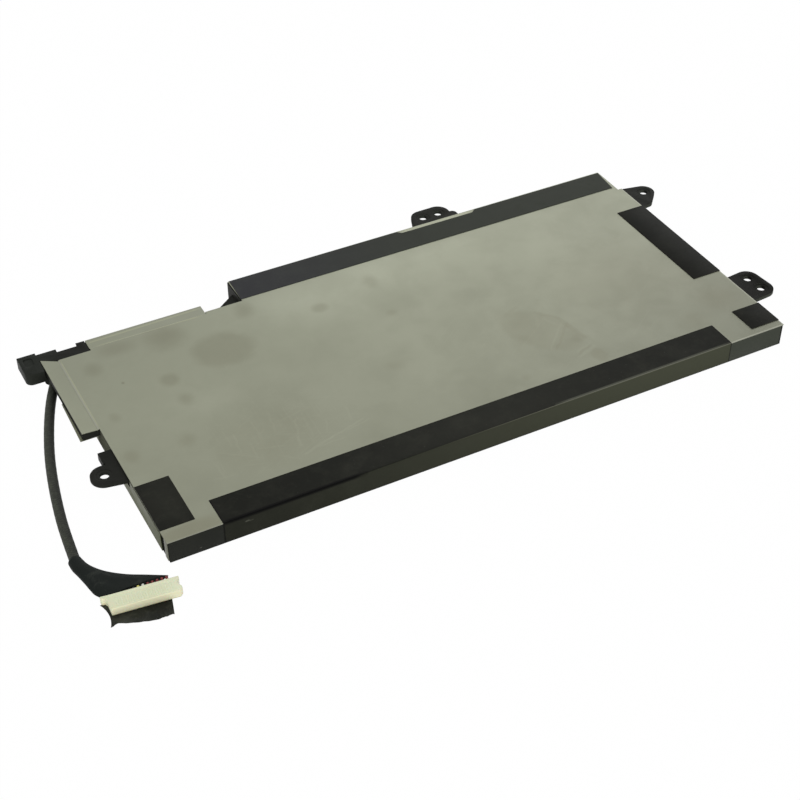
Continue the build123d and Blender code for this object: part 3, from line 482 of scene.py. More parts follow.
def makeCoverMetal(f):
    material, tree, shader = newMaterial("coverMetal")
    vector = objectVector(tree)
    grain = useGroup(tree, rolledGrain, vector)
    dust = useGroup(tree, fineDust, vector, Amount=0.5)
    parts = partsOf(tree, vector)
    # a painted reflection: the satin skin grows lighter towards the rear
    slope = plus(tree, times(tree, parts["X"], -0.18), parts["Y"])
    cloud = times(tree, math2(tree, "SUBTRACT", noiseOf(tree, vector, 26.0, 4.0, 0.6), 0.5), 0.05)
    tone = rampOf(tree, plus(tree, slope, cloud), -0.075, 0.075)
    colour = mixColour(tree, tone, f["front"], f["rear"])
    # the two lighter patches at the middle of the rear are a painted highlight
    colour = drawStains(tree, vector, colour, f["paleCloudsAndHighlight"], f["light"])
    colour = drawStains(tree, vector, colour, f["stains"], f["stain"])
    shaken = unsteady(tree, vector, *f["shake"])
    colour = drawLines(tree, shaken, colour, onCover(f["palmRim"]), f["stain"])
    colour = drawLines(tree, shaken, colour, onCover(f["wipes"] + f["palmLines"]), f["light"])
    # painted highlights along the folds of the flanges
    colour = drawLines(tree, vector, colour, f["folds"], f["fold"])
    colour = drawLines(tree, vector, colour, onCover(f["rearRim"]), f["rim"])
    colour = tinted(tree, grain["Scratch"], 0.05, colour, f["edge"])
    # streaks and mottling are stronger where the sheet has been wiped
    marks = useGroup(tree, wipeMarks, vector)
    area = stainMask(tree, vector, *f["wiped"])
    colour = tinted(tree, marks["Streak"], plus(tree, times(tree, area, 0.07), 0.012), colour, f["light"])
    colour = tinted(tree, marks["Mottle"], plus(tree, times(tree, area, 0.08), 0.05), colour, f["stain"])
    colour = tinted(tree, dust["Mask"], 0.05, colour, f["dust"])
    # the pressed step between the flanges and the raised middle gets a painted highlight
    step = rampOf(tree, parts["Z"], 8.08 * mm, 8.16 * mm)
    step = times(tree, step, rampOf(tree, parts["Z"], 8.42 * mm, 8.49 * mm, 1.0, 0.0))
    # so do the front edge, more towards the right, and the right edge, within half a millimetre
    front = rampOf(tree, parts["Y"], cornerY + 0.25 * mm, cornerY + 0.6 * mm, 1.0, 0.0)
    front = times(tree, front, rampOf(tree, parts["X"], 0.0, 0.06, 0.12, 1.0))
    right = rampOf(tree, parts["X"], cornerX + 235.4 * mm, cornerX + 235.8 * mm)
    edges = times(tree, math2(tree, "MAXIMUM", front, right), 0.8)
    colour = tinted(tree, math2(tree, "MAXIMUM", step, edges), 0.85, colour, f["edge"])
    # the left side is painted darker, a painted shade
    side = rampOf(tree, times(tree, facingOf(tree)["X"], -1.0), 0.5, 0.9)
    colour = tinted(tree, side, 0.8, colour, f["leftSideShade"])
    rough = times(tree, noiseOf(tree, vector, 60.0, 5.0, 0.6), 0.16)
    rough = plus(tree, plus(tree, rough, times(tree, marks["Mottle"], 0.05)), f["roughness"])
    feed(tree, shader, Base_Color=colour, Roughness=rough, Metallic=f["metallic"])
    normal = addBump(tree, shader, grain["Height"], *f["grainBump"])
    addBump(tree, shader, noiseOf(tree, vector, 14.0, 2.0), *f["waveBump"], normal)
    return material


trayFinish = {
    "dark": (0.073, 0.080, 0.041),
    "pale": (0.106, 0.116, 0.062),
    "lip": (0.18, 0.185, 0.135),
    "dull": (0.105, 0.108, 0.080),
    "dullPlace": (0.0, 57.0, 5.0, 9.0, 0.4, 0.1),
    "stretch": (1.0, 18.0, 1.0),
    "roughness": (0.42, 0.55),
    "bump": (0.1, 0.00002),
}


def makeTrayMetal(f):
    material, tree, shader = newMaterial("trayMetal")
    vector = objectVector(tree)
    grain = useGroup(tree, rolledGrain, vector, Stretch=f["stretch"])
    cloud = rampOf(tree, noiseOf(tree, vector, 70.0, 4.0, 0.6), 0.35, 0.7)
    colour = mixColour(tree, cloud, f["dark"], f["pale"])
    # the lip, which looks up, is painted lighter as a painted highlight, and the short stretch of side
    # between the flange and the nub has lost its shine
    colour = mixColour(tree, rampOf(tree, facingOf(tree)["Z"], 0.5, 0.9, 0.0, 0.8), colour, f["lip"])
    dull = stainMask(tree, vector, *f["dullPlace"])
    feed(
        tree, shader, Base_Color=mixColour(tree, dull, colour, f["dull"]),
        Metallic=rampOf(tree, dull, 0.0, 1.0, 1.0, 0.0), Specular_IOR_Level=0.0,
        Roughness=rampOf(tree, cloud, 0.0, 1.0, *f["roughness"]),
    )
    addBump(tree, shader, grain["Height"], *f["bump"])
    return material


mouldFinish = {
    "dark": (0.013, 0.0135, 0.0115),
    "pale": (0.023, 0.0235, 0.0205),
    "dust": (0.16, 0.16, 0.14),
    # the colour of the painted reflection on the front wall
    "sheen": (0.063, 0.069, 0.055),
    "roughness": (0.45, 0.6),
    "gloss": 0.035,
    "bump": (0.25, 0.00003),
    # a darker right ear, a paler block and a dark end of the front wall, each with its colour
    "shades": [
        ([(243.0, 27.0, 13.0, 18.0, 0.6, 0.1, 0.65)], (0.005, 0.005, 0.004)),
        ([(-10.0, 106.0, 13.0, 15.0, 0.7, 0.2, 0.32)], (0.038, 0.044, 0.037)),
    ],
    "speck": [(10.4, -0.01, 1.8, 10.9, -0.01, 1.85, 0.3, 0.5)],
    "wallEnd": [(235.3, 0.0, 0.0, 235.3, 0.0, 8.6, 0.5, 0.85)],
    "wallEndColour": (0.008, 0.008, 0.007),
}


def makeMouldedBlack(f):
    material, tree, shader = newMaterial("mouldedBlack")
    vector = objectVector(tree)
    grain = useGroup(tree, mouldGrain, vector, Scale=3200.0)
    dust = useGroup(tree, fineDust, vector, Scale=520.0, Amount=0.6)
    colour = mixColour(tree, grain["Cloud"], f["dark"], f["pale"])
    colour = tinted(tree, dust["Mask"], 0.2, colour, f["dust"])
    for places, shade in f["shades"]:
        colour = drawStains(tree, vector, colour, places, shade)
    # painted reflection of the bright table on the forward-looking wall, stronger at the right
    sheen = useGroup(tree, wallSheen, vector)
    colour = mixColour(tree, sheen["Mask"], colour, f["sheen"])
    colour = drawLines(tree, vector, colour, f["speck"], f["dust"])
    colour = drawLines(tree, vector, colour, f["wallEnd"], f["wallEndColour"])
    rough = rampOf(tree, grain["Cloud"], 0.0, 1.0, *f["roughness"])
    feed(tree, shader, Base_Color=colour, Roughness=rough, Specular_IOR_Level=f["gloss"])
    addBump(tree, shader, grain["Height"], *f["bump"])
    return material


tapeFinishes = {
    "frontTapeFilm": {
        "dark": (0.010, 0.0105, 0.008), "pale": (0.027, 0.0275, 0.021), "roughness": 0.42, "gloss": 0.04,
        "worn": [(118.0, 5.0, 75.0, 16.0, 1.0, 0.3, 0.30), (6.0, 18.0, 12.0, 18.0, 0.9, 0.3, 0.30)],
        "dull": [(238.0, 60.0, 26.0, 75.0, 0.6, 0.2, 0.55)],
        # a white speck on the wall and, at the right, a painted highlight along the fold
        "marks": [
            (25.9, -0.16, 6.15, 27.2, -0.16, 6.25, 0.45, 0.45),
            (27.2, -0.16, 5.9, 28.6, -0.16, 6.0, 0.3, 0.25),
            (140.0, 0.25, 8.62, 213.0, 0.25, 8.62, 0.7, 0.42),
        ],
        # a painted shade along the fold at the left
        "foldShadeLines": [(17.0, 0.1, 8.45, 68.0, 0.1, 8.45, 1.25, 0.9)],
        "seams": (18.6, 212.8),
    },
    "backTapeFilm": {
        "dark": (0.028, 0.0285, 0.031), "pale": (0.044, 0.047, 0.044), "roughness": 0.42, "gloss": 0.06,
        "drift": (0.0265, 0.031, 0.020),
    },
    "flapFilm": {
        "dark": (0.013, 0.014, 0.011), "pale": (0.075, 0.078, 0.062), "roughness": 0.36, "gloss": 0.08,
    },
}

# what all three films share
filmShades = {
    "dust": (0.14, 0.14, 0.12),
    # painted reflection on the wall, then painted highlight and painted shade on its rolled edge
    "sheen": (0.066, 0.070, 0.046),
    "rolledHighlight": (0.18, 0.18, 0.14),
    "roll": (0.003, 0.003, 0.003),
    "speckAndHighlight": (0.16, 0.165, 0.13),
    "foldShade": (0.002, 0.002, 0.002),
    "seam": (0.004, 0.004, 0.004),
    "wornGain": 1.35,
    "dullGain": 0.6,
    "roughnessSpan": 0.16,
    "bump": (0.35, 0.00025),
}


def makeTapeFilm(name, f, shades):
    material, tree, shader = newMaterial(name)
    vector = objectVector(tree)
    film = useGroup(tree, filmCrease, vector, Scale=110.0)
    dust = useGroup(tree, fineDust, vector, Scale=600.0, Amount=0.8)
    smudge = rampOf(tree, noiseOf(tree, vector, 75.0, 4.0, 0.65), 0.42, 0.72)
    colour = tinted(tree, plus(tree, film["Scuff"], smudge), 0.5, f["dark"], f["pale"])
    colour = tinted(tree, dust["Mask"], 0.18, colour, shades["dust"])
    paler = tuple(shades["wornGain"] * c for c in f["pale"])
    darker = tuple(shades["dullGain"] * c for c in f["dark"])
    colour = drawStains(tree, vector, colour, f.get("worn", []), paler)
    colour = drawStains(tree, vector, colour, f.get("dull", []), darker)
    across = partsOf(tree, vector)["X"]
    if "drift" in f:
        # the film turns to another shade towards the right
        colour = mixColour(tree, rampOf(tree, across, -0.05, 0.04, 0.0, 0.75), colour, f["drift"])
    # painted reflection of the bright table on the wall, more at the right, then a painted highlight on the
    # rolled edge at the right and painted shade on it at the left
    sheen = useGroup(tree, wallSheen, vector)
    colour = mixColour(tree, sheen["Mask"], colour, shades["sheen"])
    colour = tinted(tree, sheen["Crease"], 0.9, colour, shades["rolledHighlight"])
    rolledShadeAtLeft = rampOf(tree, across, -0.09, -0.01, 0.85, 0.0)
    colour = tinted(tree, sheen["Roll"], rolledShadeAtLeft, colour, shades["roll"])
    # the speck and the painted highlight along the fold
    colour = drawLines(tree, vector, colour, f.get("marks", []), shades["speckAndHighlight"])
    # painted shade along the fold
    colour = drawLines(tree, vector, colour, f.get("foldShadeLines", []), shades["foldShade"])
    # a dark line where the front strip ends
    for end in f.get("seams", []):
        apart = math2(tree, "ABSOLUTE", math2(tree, "SUBTRACT", across, cornerX + end * mm))
        line = rampOf(tree, apart, 0.15 * mm, 0.55 * mm, 1.0, 0.0)
        colour = tinted(tree, line, 0.8, colour, shades["seam"])
    rough = rampOf(tree, film["Scuff"], 0.0, 1.0, f["roughness"], f["roughness"] + shades["roughnessSpan"])
    feed(tree, shader, Base_Color=colour, Roughness=rough, Specular_IOR_Level=f["gloss"])
    addBump(tree, shader, film["Height"], *shades["bump"])
    return material


sleeveFinish = {
    "threads": (1100.0, 9.0, 1.0),
    "dark": (0.011, 0.012, 0.011),
    "thread": (0.026, 0.027, 0.024),
    "worn": (0.074, 0.082, 0.058),
    "roughness": 0.62,
    "gloss": 0.14,
    "bump": (0.6, 0.00016),
}


def makeSleeve(f):
    material, tree, shader = newMaterial("sleeve")
    along = addNode(tree, "ShaderNodeTexCoord").outputs["UV"]
    weave = useGroup(tree, sleeveWeave, mapped(tree, along, "POINT", Scale=f["threads"]))
    colour = mixColour(tree, weave["Height"], f["dark"], f["thread"])
    # the threads are worn paler in a mottle, and the side that faces the left is painted paler still, as
    # painted light
    side = rampOf(tree, times(tree, facingOf(tree, "Normal")["X"], -1.0), -0.7, 0.7, 0.30, 1.0)
    worn = plus(tree, times(tree, weave["Mottle"], 0.5), 0.25)
    colour = tinted(tree, worn, side, colour, f["worn"])
    feed(tree, shader, Base_Color=colour, Roughness=f["roughness"], Specular_IOR_Level=f["gloss"])
    addBump(tree, shader, weave["Height"], *f["bump"])
    return material


rubberFinish = {
    "dark": (0.010, 0.0125, 0.011),
    "pale": (0.030, 0.034, 0.029),
    "roughness": (0.48, 0.68),
    "gloss": 0.07,
    "bump": (0.35, 0.0003),
}


def makeBootRubber(f):
    material, tree, shader = newMaterial("bootRubber")
    film = useGroup(tree, filmCrease, objectVector(tree), Scale=260.0)
    feed(
        tree, shader, Base_Color=mixColour(tree, film["Scuff"], f["dark"], f["pale"]),
        Roughness=rampOf(tree, film["Scuff"], 0.0, 1.0, *f["roughness"]), Specular_IOR_Level=f["gloss"],
    )
    addBump(tree, shader, film["Height"], *f["bump"])
    return material


creamFinish = {
    "dark": (0.70, 0.72, 0.49),
    "pale": (0.80, 0.82, 0.60),
    "front": (0.99, 0.96, 0.66),
    "ribHighlight": (0.88, 0.86, 0.62),
    "foot": (0.40, 0.36, 0.17),
    "roughness": 0.42,
    "subsurface": 0.08,
    "subsurfaceScale": 0.001,
    "bump": (0.12, 0.00003),
}


def makeCream(f):
    material, tree, shader = newMaterial("creamPlastic")
    vector = objectVector(tree)
    grain = useGroup(tree, mouldGrain, vector, Scale=2400.0)
    height = partsOf(tree, vector)["Z"]
    colour = mixColour(tree, grain["Cloud"], f["dark"], f["pale"])
    # the front side is painted brighter and yellower, as if lit as well as the top, and the rib tops get a
    # painted highlight
    front = rampOf(tree, times(tree, facingOf(tree, "Normal")["Y"], -1.0), 0.45, 0.95)
    colour = mixColour(tree, front, colour, f["front"])
    colour = tinted(tree, rampOf(tree, height, 3.37 * mm, 3.41 * mm), 0.25, colour, f["ribHighlight"])
    # the colour turns darker and warmer towards the lower edge
    colour = tinted(tree, rampOf(tree, height, 0.35 * mm, 0.95 * mm, 1.0, 0.0), 0.7, colour, f["foot"])
    feed(
        tree, shader, Base_Color=colour, Roughness=f["roughness"], Subsurface_Weight=f["subsurface"],
        Subsurface_Scale=f["subsurfaceScale"],
    )
    addBump(tree, shader, grain["Height"], *f["bump"])
    return material


# a dark and a pale shade and the roughness of each plain finish, and where they differ from the usual
# its metal share, the scale of its cloud, and the strength and depth of its grain
plainFinishes = {
    "insulationBlack": ((0.012, 0.012, 0.012), (0.025, 0.025, 0.025), 0.38),
    "insulationYellow": ((0.60, 0.55, 0.10), (0.70, 0.66, 0.18), 0.38),
    "insulationWhite": ((0.66, 0.68, 0.62), (0.75, 0.76, 0.72), 0.38),
    "insulationRed": ((0.12, 0.009, 0.008), (0.20, 0.013, 0.012), 0.45),
    "pouchFoil": ((0.50, 0.51, 0.52), (0.60, 0.61, 0.62), 0.42, 0.7, 60.0, 0.3, 0.0004),
    "nickelStrip": ((0.55, 0.53, 0.48), (0.68, 0.66, 0.61), 0.3, 0.9),
    "glueFilm": ((0.66, 0.66, 0.60), (0.76, 0.76, 0.72), 0.6),
    "blackFoam": ((0.02, 0.02, 0.02), (0.045, 0.045, 0.045), 0.85, 0.0, 900.0, 0.8, 0.0002),
    "boardMask": ((0.012, 0.10, 0.038), (0.02, 0.14, 0.055), 0.34, 0.0, 500.0),
    "chipResin": ((0.016, 0.016, 0.016), (0.034, 0.034, 0.034), 0.5, 0.0, 800.0),
    "chipCeramic": ((0.36, 0.28, 0.19), (0.48, 0.39, 0.28), 0.5, 0.0, 700.0),
    "amberFilm": ((0.36, 0.17, 0.02), (0.50, 0.26, 0.05), 0.25),
}


def makePlain(name, dark, pale, roughness, metallic=0.0, scale=300.0, bump=0.15, depth=0.00004):
    # a slow two-tone cloud with a fine grain
    material, tree, shader = newMaterial(name)
    vector = objectVector(tree)
    grain = useGroup(tree, mouldGrain, vector, Scale=scale * 6)
    cloud = rampOf(tree, noiseOf(tree, vector, scale, 4.0, 0.6), 0.35, 0.7)
    feed(
        tree, shader, Base_Color=mixColour(tree, cloud, dark, pale), Metallic=metallic,
        Roughness=rampOf(tree, cloud, 0.0, 1.0, roughness - 0.04, roughness + 0.06),
    )
    addBump(tree, shader, grain["Height"], bump, depth)
    return material


coverMetal = makeCoverMetal(coverFinish)
trayMetal = makeTrayMetal(trayFinish)
mouldedBlack = makeMouldedBlack(mouldFinish)
films = {name: makeTapeFilm(name, finish, filmShades) for name, finish in tapeFinishes.items()}
sleeve = makeSleeve(sleeveFinish)
bootRubber = makeBootRubber(rubberFinish)
finishes = {name: makePlain(name, *values) for name, values in plainFinishes.items()}
finishes["creamPlastic"] = makeCream(creamFinish)
print("materials ready")


# Mesh helpers

def gridFaces(rows, columns, wrapped=False):
    # quads between neighbouring rows and columns, wrapped round where the columns are closed
    across = np.arange(columns if wrapped else columns - 1)
    row, column = np.meshgrid(np.arange(rows - 1), across, indexing="ij")
    here, above, following = row * columns, (row + 1) * columns, (column + 1) % columns
    return np.stack([here + column, here + following, above + following, above + column], -1).reshape(-1, 4)


def tubeFaces(rows, columns):
    # the skin of a tube with a cap at each end
    ring = np.arange(columns)
    caps = [ring[::-1].tolist(), (ring + (rows - 1) * columns).tolist()]
    return gridFaces(rows, columns, wrapped=True).tolist() + caps


def makeObject(name, points, faces, uv=None):
    # points in metres in the pack's own frame, and faces as lists of point numbers
    mesh = bpy.data.meshes.new(name)
    mesh.from_pydata(np.asarray(points, float).tolist(), [], [list(map(int, f)) for f in faces])
    mesh.update()
    if uv is not None:
        layer = mesh.uv_layers.new(name="UVMap")
        loops = np.zeros(len(mesh.loops), np.int32)
        mesh.loops.foreach_get("vertex_index", loops)
        layer.data.foreach_set("uv", np.asarray(uv, float)[loops].astype(np.float32).ravel())
    obj = bpy.data.objects.new(name, mesh)
    bpy.context.scene.collection.objects.link(obj)
    return obj


def editMesh(obj, change):
    # runs one change on a piece's mesh
    shape = bmesh.new()
    shape.from_mesh(obj.data)
    change(shape)
    shape.to_mesh(obj.data)
    shape.free()


def faceOutwards(shape):
    bmesh.ops.recalc_face_normals(shape, faces=shape.faces)


def settle(obj, material, replaced, sharp=None):
    # gives a new piece its material and its body, hides the node that it stands for, and keeps the edges
    # sharp that turn by more than so many degrees
    obj.data.materials.clear()
    obj.data.materials.append(material)
    obj.data.polygons.foreach_set("use_smooth", np.ones(len(obj.data.polygons), bool))
    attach(obj, "root")
    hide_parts(replaced)
    if sharp:
        obj.data.set_sharp_from_angle(angle=math.radians(sharp))
    return obj


# Lead

lead = {
    "route": [
        (-3.5, 98.6, 2.30), (-6.3, 93.4, 1.90), (-9.8, 85.4, 1.77), (-13.6, 74.9, 1.77), (-17.4, 62.6, 1.77),
        (-20.3, 50.4, 1.77), (-22.6, 38.4, 1.77), (-24.4, 26.6, 1.77), (-25.4, 15.2, 1.77),
    ],
    "order": 3,
    "resolution": 24,
    "steps": 360,
    "tail": 3.2,
    "tailSteps": 8,
    "diameter": 3.5,
    "skin": 0.02,
    "length": 86.8,
    "around": 40,
    "ripple": 0.012,
    "ripplePitch": 3.3,
    "lowest": 0.02,
}


def routeSpline(name, p):
    # the smooth line of a NURBS spline whose control points are the route
    curve = bpy.data.curves.new(name, "CURVE")
    curve.dimensions = "3D"
    spline = curve.splines.new("NURBS")
    spline.points.add(len(p["route"]) - 1)
    for point, (x, y, z) in zip(spline.points, p["route"]):
        point.co = (*place(x, y, z), 1.0)
    spline.order_u = p["order"]
    spline.use_endpoint_u = True
    spline.resolution_u = p["resolution"]
    holder = bpy.data.objects.new(name, curve)
    bpy.context.scene.collection.objects.link(holder)
    bpy.context.view_layer.update()
    mesh = bpy.data.meshes.new_from_object(holder)
    points = np.array([v.co for v in mesh.vertices], float)
    bpy.data.objects.remove(holder)
    bpy.data.meshes.remove(mesh)
    return points


def evenly(points, count):
    # the same line cut into equal steps of length
    steps = np.linalg.norm(np.diff(points, axis=0), axis=1)
    length = np.concatenate([[0.0], np.cumsum(steps)])
    at = np.linspace(0.0, length[-1], count)
    return np.stack([np.interp(at, length, points[:, k]) for k in range(3)], -1), at


def makeLead(p):
    # a circle carried along the spline, its radius rippled a little by the wound sleeve
    lay, at = evenly(routeSpline("leadRoute", p), p["steps"])
    # the sleeve goes on for a little inside the boot
    onward = np.linspace(0, p["tail"] * mm, p["tailSteps"] + 1)[1:]
    heading = (lay[-1] - lay[-2]) / np.linalg.norm(lay[-1] - lay[-2])
    path = np.concatenate([lay, lay[-1] + heading * onward[:, None]])
    at = np.concatenate([at, at[-1] + onward])
    tangent = np.gradient(path, axis=0)
    tangent /= np.linalg.norm(tangent, axis=1, keepdims=True)
    side = np.cross(tangent, [0.0, 0.0, 1.0])
    side /= np.linalg.norm(side, axis=1, keepdims=True)
    over = np.cross(side, tangent)
    angle = np.linspace(0.0, 2 * math.pi, p["around"], endpoint=False)
    ripple = p["ripple"] * np.sin(2 * math.pi * at[:, None] / (p["ripplePitch"] * mm) + angle[None, :])
    radius = (p["diameter"] / 2 - p["skin"] + ripple) * mm
    ring = np.cos(angle)[None, :, None] * side[:, None, :] + np.sin(angle)[None, :, None] * over[:, None, :]
    points = path[:, None, :] + radius[..., None] * ring
    points[..., 2] = np.maximum(points[..., 2], p["lowest"] * mm)
    uv = np.stack(np.broadcast_arrays(at[:, None], angle[None, :] / (2 * math.pi)), -1)
    faces = [f[::-1] for f in tubeFaces(len(at), len(angle))]
    obj = makeObject("lead_sleeve", points.reshape(-1, 3), faces, uv.reshape(-1, 2))
    return settle(obj, sleeve, "battery_lead"), lay


leadObject, leadPath = makeLead(lead)
print("lead made")


# Place of the connector, which the boot, the housing and the flap share

connectorPlace = {"corner": (-22.36, -6.70), "turn": -6.3, "length": 21.2}


def connectorPlan(x, y):
    # a place in the connector's own frame, x along its length and y towards the wires
    a = math.radians(connectorPlace["turn"])
    cx, cy = connectorPlace["corner"]
    return cx + x * math.cos(a) - y * math.sin(a), cy + x * math.sin(a) + y * math.cos(a)


def connectorPoint(x, y, z):
    return np.array([*connectorPlan(x, y), z], float)


# Boot

boot = {
    # the two outlines, as pairs of a left and a right place, with the height and squareness between them
    "pairs": [
        ((-27.45, 13.25), (-23.60, 12.75), 3.60, 2.0),
        ((-27.95, 12.20), (-23.40, 11.70), 3.62, 2.1),
        ((-27.80, 9.70), (-22.70, 9.30), 3.5, 2.2),
        ((-27.00, 6.30), (-20.90, 6.20), 3.4, 2.3),
        ((-26.25, 2.70), (-18.00, 3.10), 3.3, 2.4),
        ((-25.65, -0.60), (-13.30, -0.30), 3.15, 2.5),
        ((-25.00, -3.20), (-7.90, -3.15), 2.95, 2.6),
    ],
    "gapLeft": 0.45,
    "gapRight": 3.1,
    "shift": 1.1,
    "endWidth": 20.4,
    "endHeight": 2.75,
    "endSquareness": 2.6,
    "wireHeight": 1.95,
    "thinning": 0.14,
    "thinFrom": 3,
    # size, number round the boot and drift along it of each set of creases
    "creases": [(0.07, 7, 0.30), (0.045, 15, -0.5)],
    "creaseWidth": 0.02,
    "floor": 0.06,
    "along": 110,
    "around": 88,
}


def hermite(rows, knots, t):
    # cubic Hermite blend of neighbouring rows, with straight starts
    slope = np.gradient(rows, knots, axis=0)
    slope[:2] = np.diff(rows[:3], axis=0) / np.diff(knots[:3])[:, None]
    k = np.clip(np.searchsorted(knots, t, side="right") - 1, 0, len(knots) - 2)
    h = (knots[k + 1] - knots[k])[:, None]
    u = (t - knots[k])[:, None] / h
    return (
        (2 * u**3 - 3 * u**2 + 1) * rows[k] + (u**3 - 2 * u**2 + u) * h * slope[k]
        + (3 * u**2 - 2 * u**3) * rows[k + 1] + (u**3 - u**2) * h * slope[k + 1]
    )


def makeBoot(p):
    # flattened superellipses between the two outlines, thinner towards the right of the mouth
    left = connectorPoint(0, p["gapLeft"], p["wireHeight"])
    right = connectorPoint(connectorPlace["length"], p["gapRight"], p["wireHeight"])
    across = (right - left) / np.linalg.norm(right - left)
    mouth = (left + right) / 2 - across * p["shift"]
    near, far = mouth - across * p["endWidth"] / 2, mouth + across * p["endWidth"] / 2
    thinRows = len(p["pairs"]) - p["thinFrom"]
    rows = [
        [*a, *b, height, squareness, max(0.0, i - p["thinFrom"]) / thinRows]
        for i, (a, b, height, squareness) in enumerate(p["pairs"])
    ]
    rows = np.array(rows + [[*near[:2], *far[:2], p["endHeight"], p["endSquareness"], 1.0]])
    middles = (rows[:, 0:2] + rows[:, 2:4]) / 2
    knots = np.concatenate([[0.0], np.cumsum(np.linalg.norm(np.diff(middles, axis=0), axis=1))])
    t = np.linspace(0.0, knots[-1], p["along"])
    s = hermite(rows, knots, t)
    middle = (s[:, 0:2] + s[:, 2:4]) / 2
    reach = (s[:, 2:4] - s[:, 0:2]) / 2
    angle = np.linspace(0.0, 2 * math.pi, p["around"], endpoint=False)
    power = 2.0 / s[:, 5:6]
    side = np.sign(np.cos(angle)) * np.abs(np.cos(angle)) ** power
    over = np.sign(np.sin(angle)) * np.abs(np.sin(angle)) ** power
    thin = 1 - p["thinning"] * s[:, 6:7] * np.clip(side * 0.5 + 0.5, 0, 1) ** 1.5
    # the creases grow after the round end and fade before the mouth
    share = (t / knots[-1])[:, None]
    creases = sum(size * np.sin(count * angle + drift * t[:, None]) for size, count, drift in p["creases"])
    creases = creases * np.clip(share * 1.6 - 0.2, 0.0, 1.0) * (1 - share ** 8)
    height = s[:, 4:5] * thin + creases * np.clip(np.sin(angle), 0, 1)
    z = p["floor"] + height * (over * 0.5 + 0.5)
    wide = 1 + creases[..., None] * p["creaseWidth"]
    plan = middle[:, None, :] + side[..., None] * reach[:, None, :] * wide
    points = np.concatenate([plan, z[..., None]], -1)
    faces = tubeFaces(*points.shape[:2])
    obj = makeObject("boot", placeArray(points.reshape(-1, 3)), faces)
    editMesh(obj, faceOutwards)
    return settle(obj, bootRubber, "lead_boot", sharp=50)


bootObject = makeBoot(boot)
print("boot made")


# Tapes

tapes = {
    "thickness": 0.15,
    "clear": 0.002,
    "front": {
        "left": 18.6, "right": 212.8, "depth": 11.6, "hem": 0.5, "radius": 0.40, "press": 0.01,
        "columns": 300,
        # steps on the cover, round the fold and down the wall
        "steps": (16, 6, 10),
    },
    "back": {
        "corners": [(70.25, 105.1), (232.9, 105.1), (233.9, 117.3), (70.75, 117.6)],
        # from where to where the rear edge stays back, and how far
        "short": (141.0, 175.6, 1.55),
        "seed": 3,
    },
    "left": {"corners": [(0.0, 5.9), (11.7, 5.9), (11.7, 28.3), (0.0, 28.3)], "seed": 5},
    # how a flat tape lies: its grid, how far it is pressed down, and its waves' height, number and the
    # spans of their size, pitch along, pitch across and phase
    "cell": 0.8,
    "fewest": 12,
    "press": 0.03,
    "lift": 0.02,
    "waves": 6,
    "spans": ((0.3, 1.0), (0.05, 0.35), (-0.5, 0.5), (0.0, 6.0)),
}


def closeSheet(name, upper, lower, material, replaced):
    # an upper and a lower grid joined round their border
    rows, columns = upper.shape[:2]
    count = rows * columns
    top = gridFaces(rows, columns)
    bottom = top[:, ::-1] + count
    index = np.arange(count).reshape(rows, columns)
    border = np.concatenate([index[0, :-1], index[:-1, -1], index[-1, :0:-1], index[:0:-1, 0]])
    following = np.roll(border, -1)
    walls = np.stack([border, border + count, following + count, following], -1)
    points = np.concatenate([upper.reshape(-1, 3), lower.reshape(-1, 3)])
    obj = makeObject(name, placeArray(points), np.concatenate([top, bottom, walls]))
    return settle(obj, material, replaced, sharp=50)


def makeFlatTape(name, shared, p, material, replaced):
    # a four-cornered sheet: a blend of its corners on a grid, lifted a little by slow waves
    a, b, c, d = [np.array(q, float) for q in p["corners"]]
    columns, rows = [
        max(int(np.linalg.norm(end - a) / shared["cell"]), shared["fewest"]) for end in (b, d)
    ]
    u, v = np.meshgrid(np.linspace(0, 1, columns), np.linspace(0, 1, rows))
    u2, v2 = u[..., None], v[..., None]
    flat = (1 - u2) * (1 - v2) * a + u2 * (1 - v2) * b + u2 * v2 * c + (1 - u2) * v2 * d
    if "short" in p:
        # the rear edge stays back between two places and leaves the metal rim bare
        begin, finish, back = p["short"]
        pull = np.clip((flat[..., 0] - begin) / 1.6, 0, 1) * np.clip((finish - flat[..., 0]) / 1.6, 0, 1)
        flat[..., 1] -= back * pull * np.clip((v - 0.6) / 0.4, 0, 1)
    rng = np.random.default_rng(p["seed"])
    wave = 0
    for _ in range(shared["waves"]):
        size, along, across, phase = [rng.uniform(*span) for span in shared["spans"]]
        wave = wave + size * np.sin(flat[..., 0] * along + flat[..., 1] * across + phase)
    lift = shared["lift"] * (1 + wave / shared["waves"])
    inward = np.minimum(np.minimum(u, 1 - u) * (columns - 1), np.minimum(v, 1 - v) * (rows - 1))
    skin = coverTop + shared["thickness"] - shared["press"]
    upper = np.dstack([flat, skin + lift * np.clip(inward / 2, 0, 1) * 0.6])
    lower = np.dstack([flat, np.full_like(u, coverTop + shared["clear"])])
    return closeSheet(name, upper, lower, material, replaced)


